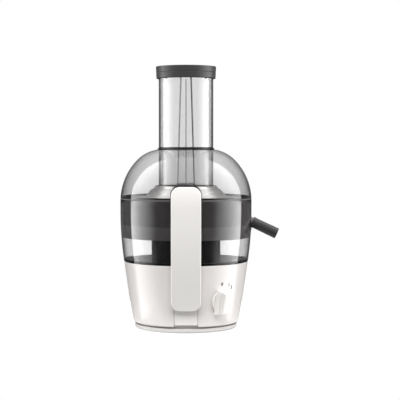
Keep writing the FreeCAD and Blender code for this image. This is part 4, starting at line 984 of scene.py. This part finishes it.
@dataclass
class Bowl:
    """Clear pulp container round the pillar, dark juice collector and spout."""

    bottom: float = 102.0
    floor: float = 104.6
    foot_radius: float = 95.5
    foot_round: float = 0.8
    waist: Point = (99.55, 140.0)
    radius: float = 100.9
    straight: float = 180.0
    top: float = 197.4
    rim_start: float = 188.0
    rim_round: float = 0.5
    wall: float = 1.7
    floor_flare: float = 0.6
    floor_round: float = 2.5
    floor_inner: float = 53.1
    slot_half: float = 9.6
    slot_height: float = 162.2
    slot_root: float = 148.0
    wall_steps: int = 30
    hollow_steps: int = 6
    turn_steps: int = 216
    slot_steps: int = 21
    crease: float = 45.0

    def profile(self) -> np.ndarray:
        """Closed profile of the container: foot, widening wall, rim and floor.

        Returns:
            Points of radius and height.
        """
        foot = (self.foot_radius, self.bottom + self.foot_round)
        outer = arc_through(foot, self.waist, (self.radius, self.straight), self.wall_steps)
        low = (self.foot_radius + self.floor_flare - self.wall, self.floor + self.floor_round)
        inner_waist = (self.waist[0] - self.wall, self.waist[1])
        inner = arc_through((self.radius - self.wall, self.straight), inner_waist, low, self.wall_steps)
        rim = wall_end(self.radius, self.radius - self.wall, self.rim_start, self.top, self.rim_round)
        root = low[0] - self.floor_round
        hollow = arc_points((root, low[1]), self.floor_round, low, (root, self.floor), self.hollow_steps)
        plate = np.array([(self.floor_inner, self.floor), (self.floor_inner, self.bottom)])
        heel = self.foot_radius - self.foot_round
        edge = arc_points((heel, foot[1]), self.foot_round, (heel, self.bottom), foot, CORNER_STEPS)
        return np.concatenate((outer[1:], rim, inner[:-1], hollow, plate, edge))

    def container(self) -> Surface:
        """Container with the outlet slot.

        The profile (r, z) goes to (r cos t, r sin t, z') for every turn t. Outside the slot z' is z. Inside
        it, heights above the slot's root are squeezed so that the rim follows the slot's round end.

        Returns:
            The closed surface.
        """
        profile = self.profile()
        edge = math.asin(self.slot_half / self.radius)
        wide = np.linspace(edge, 2 * math.pi - edge, self.turn_steps)
        narrow = np.linspace(-edge, edge, self.slot_steps)
        turn = np.concatenate((wide, narrow))[:, None]
        across = self.radius * np.sin(narrow)
        end = self.slot_height - np.sqrt(np.maximum(self.slot_half ** 2 - across ** 2, 0))
        rim = np.concatenate((np.full(len(wide), self.top), end))[:, None]
        share = np.maximum(profile[None, :, 1] - self.slot_root, 0) / (self.top - self.slot_root)
        height = np.minimum(profile[None, :, 1], self.slot_root) + share * (rim - self.slot_root)
        radius = profile[None, :, 0]
        vertices = np.stack((radius * np.cos(turn), radius * np.sin(turn), height), -1).reshape(-1, 3)
        return Surface(vertices, grid_faces(len(turn), len(profile), True, True))

    def build(self) -> None:
        """Make the clear container and dress the dark parts in it."""
        piece = self.container().piece("container_shell", BOWL_CLEAR, Body.BASE, Slot.CLEAR, self.crease)
        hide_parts("pulp_container", "container_floor")
        dress(["container_sleeve"], BLACK)
        dress(["juice_collector", "gutter_floor", "gutter_wall"], COLLECTOR_DARK)
        dress(["juice_spout"], DARK)


@dataclass
class Basket:
    """Spinning filter basket."""

    steel: tuple[str, ...] = ("filter_shoulder", "grater_disc", "filter_nut")
    mesh: tuple[str, ...] = ("filter_mesh",)
    moulded: tuple[str, ...] = ("filter_carrier",)

    def build(self) -> None:
        """Dress the basket's steel, mesh and carrier."""
        dress(self.steel, POLISHED)
        dress(self.mesh, MESH_STEEL)
        dress(self.moulded, DARK)


@dataclass
class Base:
    """Housing, deck and bottom, with the marks above the knob."""

    arc: tuple[tuple[float, float], ...] = ((81.6, 11.2), (88.6, 55.85), (95.2, 101.2))
    knob_turn: float = 38.0
    knob_height: float = 47.0
    mark_radius: float = 26.5
    mark_size: float = 6.4
    mark_weight: float = 0.3
    mark_turns: tuple[float, ...] = (-7.0, 24.0, 39.0)
    proud: float = 0.06
    crease: float = 40.0

    def radius(self, height: np.ndarray) -> np.ndarray:
        """Housing radius at a height: the parabola through its lower edge, belly and upper edge."""
        radii, heights = np.array(self.arc)[:, 0], np.array(self.arc)[:, 1]
        return np.polyval(np.polyfit(heights, radii, 2), height)

    def mark(self, text: str, turn: float) -> bpy.types.Object:
        """One plain numeral laid on the housing above the knob.

        The flat numeral's x runs along the housing's turn and its y along its height; every point goes out to
        the housing radius at its own height.

        Args:
            text: The numeral.
            turn: Its place on the knob's scale, in degrees from straight up.

        Returns:
            The new piece.
        """
        curve = bpy.data.curves.new(f"mark_{text}", "FONT")
        curve.body = text
        curve.size = self.mark_size
        curve.offset = self.mark_weight
        curve.align_x = "CENTER"
        curve.align_y = "CENTER"
        helper = bpy.data.objects.new(f"mark_{text}_flat", curve)
        mesh = bpy.data.meshes.new_from_object(helper)
        bpy.data.objects.remove(helper)
        flat = np.zeros(len(mesh.vertices) * 3)
        mesh.vertices.foreach_get("co", flat)
        flat = flat.reshape(-1, 3)
        lean = math.radians(turn)
        across = flat[:, 0] + self.mark_radius * math.sin(lean)
        height = self.knob_height + flat[:, 1] + self.mark_radius * math.cos(lean)
        radius = self.radius(height) + self.proud
        around = math.radians(self.knob_turn) + across / radius
        placed = np.column_stack((radius * np.sin(around), -radius * np.cos(around), height)) * MM
        mesh.vertices.foreach_set("co", placed.ravel())
        mesh.update()
        return add_piece(f"knob_mark_{text}", mesh, INK, Body.BASE, self.crease)

    def build(self) -> None:
        """Dress the base and lay the marks on it."""
        dress(["motor_housing"], WHITE)
        dress(["bottom_cover"], PALE)
        dress(["top_cover", "motor_pillar"], BLACK)
        dress(["rubber_feet", "shaft_seal", "cord_gland"], RUBBER)
        dress(["bottom_screws"], PLAIN)
        for number, turn in enumerate(self.mark_turns):
            self.mark(str(number), turn)


@dataclass
class Controls:
    """Knob, its spindle and switches."""

    def build(self) -> None:
        """Dress the knob white and the switches dark."""
        dress(["speed_knob"], ARM_WHITE)
        dress(["knob_spindle"], PLAIN)
        dress(["rotary_switch", "safety_switch", "switch_plunger", "terminal_block"], INNER)


@dataclass
class Clamp:
    """One swinging clamp with its hinge pin."""

    facing: Facing

    def build(self) -> None:
        """Dress the white arm and cover, the dark hook and the pin."""
        name = f"{self.facing.name.lower()}_clamp"
        dress([f"{name}_arm", f"{name}_cover"], ARM_WHITE)
        dress([f"{name}_hook"], DARK)
        dress([f"{name}_pin"], PLAIN)


@dataclass
class Motor:
    """Motor inside the base and pillar."""

    def build(self) -> None:
        """Dress the motor's steel, copper, cast and moulded pieces."""
        dress(["motor_shaft", "upper_bearing", "lower_bearing", "motor_bolts", "motor_screws"], PLAIN)
        dress(["motor_stator", "armature_core"], LAMINATED)
        dress(["field_coils", "armature_windings"], COPPER)
        dress(["commutator"], BARS)
        dress(["motor_upper_bracket", "motor_lower_bracket"], CAST)
        dress(["cooling_fan", "brush_holders", "drive_coupling"], INNER)
        dress(["motor_mount_dampers"], RUBBER)
        dress(["carbon_brushes"], CARBON)


# Studio


@dataclass
class Studio:
    """White background, soft boxes at both sides, a lamp in front, and the camera."""

    camera_place: tuple[float, float, float] = (0.0, -1.848, 0.2738)
    frame_shift: float = 0.035
    camera_pitch: float = 2.43
    lens: float = 108.0
    sensor: float = 36.0
    box_near: float = 54.0
    box_far: float = 112.0
    box_full: float = 0.1
    box_edge: float = 0.015
    box_foot: tuple[float, float] = (-0.6, -0.42)
    box_head: tuple[float, float] = (0.8, 0.93)
    box_strength: float = 3.6
    right_lead: float = 6.0
    lead_edge: float = 0.01
    fill: float = 0.1
    top: float = 0.8
    floor_half: float = 0.12
    floor_back: float = 0.3
    floor_drop: float = 0.0002
    floor_colour: Colour = (0.56, 0.56, 0.56)
    floor_roughness: float = 0.9
    floor_glow: float = 0.7
    lamp_watts: float = 50.0
    lamp_size: tuple[float, float] = (1.6, 1.2)
    lamp_place: tuple[float, float, float] = (0.0, -1.5, 1.8)
    lamp_tilt: float = 42.7
    bounces: int = 32
    clear_bounces: int = 24

    def camera(self) -> None:
        """Camera at the photographed angle."""
        data = bpy.data.cameras.new("camera")
        data.lens = self.lens
        data.sensor_width = self.sensor
        data.shift_x = self.frame_shift
        camera = bpy.data.objects.new("camera", data)
        camera.location = self.camera_place
        camera.rotation_euler = (math.radians(90 - self.camera_pitch), 0, 0)
        bpy.context.scene.collection.objects.link(camera)
        bpy.context.scene.camera = camera

    @staticmethod
    def straight(wiring: Wiring) -> Socket:
        """1 for rays that only passed through clear parts since the camera.

        Args:
            wiring: Wiring of the world or of a material.

        Returns:
            1 or 0.
        """
        rays = wiring.add("LightPath").outputs
        bounced = wiring.math("ADD", rays["Diffuse Depth"], rays["Glossy Depth"])
        unbounced = wiring.math("LESS_THAN", bounced, 0.5)
        seen = wiring.math("MAXIMUM", rays["Is Camera Ray"], rays["Is Transmission Ray"])
        return wiring.math("MULTIPLY", seen, unbounced)

    def room(self, wiring: Wiring, parts: Any) -> Socket:
        """Light that surfaces get: dim walls, two soft boxes that brighten backwards, and light from above.

        The right box starts a little further forward than the left one.

        Args:
            wiring: Wiring of the world.
            parts: X, Y and Z of the ray's direction.

        Returns:
            Strength in that direction.
        """
        forward = wiring.math("MULTIPLY", parts[1], -1.0)
        turn = wiring.math("ABSOLUTE", wiring.math("ARCTAN2", parts[0], forward))
        near, far = math.radians(self.box_near), math.radians(self.box_far)
        lead = wiring.span(parts[0], -self.lead_edge, self.lead_edge, 0.0, math.radians(self.right_lead))
        ramp = wiring.span(wiring.math("ADD", turn, lead), near, far - self.box_full, 0.0, 1.0)
        ramp = wiring.math("MULTIPLY", ramp, wiring.span(turn, far, far + self.box_edge, 1.0, 0.0))
        tall = wiring.math("MULTIPLY", wiring.span(parts[2], *self.box_foot, 0.0, 1.0),
                           wiring.span(parts[2], *self.box_head, 1.0, 0.0))
        box = wiring.math("MULTIPLY", wiring.math("MULTIPLY", ramp, tall), self.box_strength)
        above = wiring.span(parts[2], 0.0, 1.0, 0.0, self.top)
        return wiring.math("ADD", wiring.math("ADD", box, above), self.fill)

    def world(self) -> None:
        """White to the camera, also through clear parts; the room to everything else."""
        world = bpy.data.worlds.new("studio")
        world.use_nodes = True
        world.node_tree.nodes.clear()
        bpy.context.scene.world = world
        wiring = Wiring(world.node_tree)
        parts = wiring.parts(wiring.add("TexCoord").outputs["Generated"])
        strength = wiring.add("Mix", {0: self.straight(wiring), 2: self.room(wiring, parts), 3: 1.0},
                              data_type="FLOAT").outputs[0]
        light = wiring.add("Background", {"Color": (1, 1, 1, 1), "Strength": strength})
        wiring.add("OutputWorld", {"Surface": light.outputs[0]})

    def floor(self) -> None:
        """Pale floor under and behind the juicer that is white to the camera and keeps the shadow."""
        mesh = bpy.data.meshes.new("studio_floor")
        half, back, low = self.floor_half, self.floor_back, -self.floor_drop
        corners = [(-half, -half, low), (half, -half, low), (half, back, low), (-half, back, low)]
        mesh.from_pydata(corners, [], [(0, 1, 2, 3)])
        floor = bpy.data.objects.new("studio_floor", mesh)
        bpy.context.scene.collection.objects.link(floor)
        material = bpy.data.materials.new("studio_floor")
        material.use_nodes = True
        material.node_tree.nodes.clear()
        wiring = Wiring(material.node_tree)
        looks = {"Base Color": (*self.floor_colour, 1), "Roughness": self.floor_roughness,
                 "Emission Color": (1, 1, 1, 1)}
        shader = wiring.add("BsdfPrincipled", looks)
        glow = wiring.math("MULTIPLY", self.straight(wiring), self.floor_glow)
        wiring.link(glow, shader.inputs["Emission Strength"])
        wiring.add("OutputMaterial", {"Surface": shader.outputs[0]})
        mesh.materials.append(material)

    def lamp(self) -> None:
        """Wide lamp high in front that leaves no highlight."""
        data = bpy.data.lights.new("front_lamp", "AREA")
        data.shape = "RECTANGLE"
        data.size, data.size_y = self.lamp_size
        data.energy = self.lamp_watts
        lamp = bpy.data.objects.new("front_lamp", data)
        lamp.location = self.lamp_place
        lamp.rotation_euler = (math.radians(self.lamp_tilt), 0, 0)
        lamp.visible_glossy = False
        lamp.visible_transmission = False
        bpy.context.scene.collection.objects.link(lamp)

    def build(self) -> None:
        """Set up the studio."""
        scene = bpy.context.scene
        scene.view_settings.view_transform = "Standard"
        scene.cycles.max_bounces = self.bounces
        scene.cycles.transmission_bounces = self.bounces
        scene.cycles.transparent_max_bounces = self.clear_bounces
        self.camera()
        self.world()
        self.floor()
        self.lamp()


def main() -> None:
    """Build the juicer part by part, then the studio."""
    logging.basicConfig(level=logging.INFO, format="%(message)s")
    assemblies = [Base(), Motor(), Controls(), Bowl(), Basket(), Lid(), Pusher()]
    assemblies += [Clamp(facing) for facing in Facing]
    for assembly in assemblies:
        assembly.build()
    Studio().build()


if __name__ == "__main__":
    main()
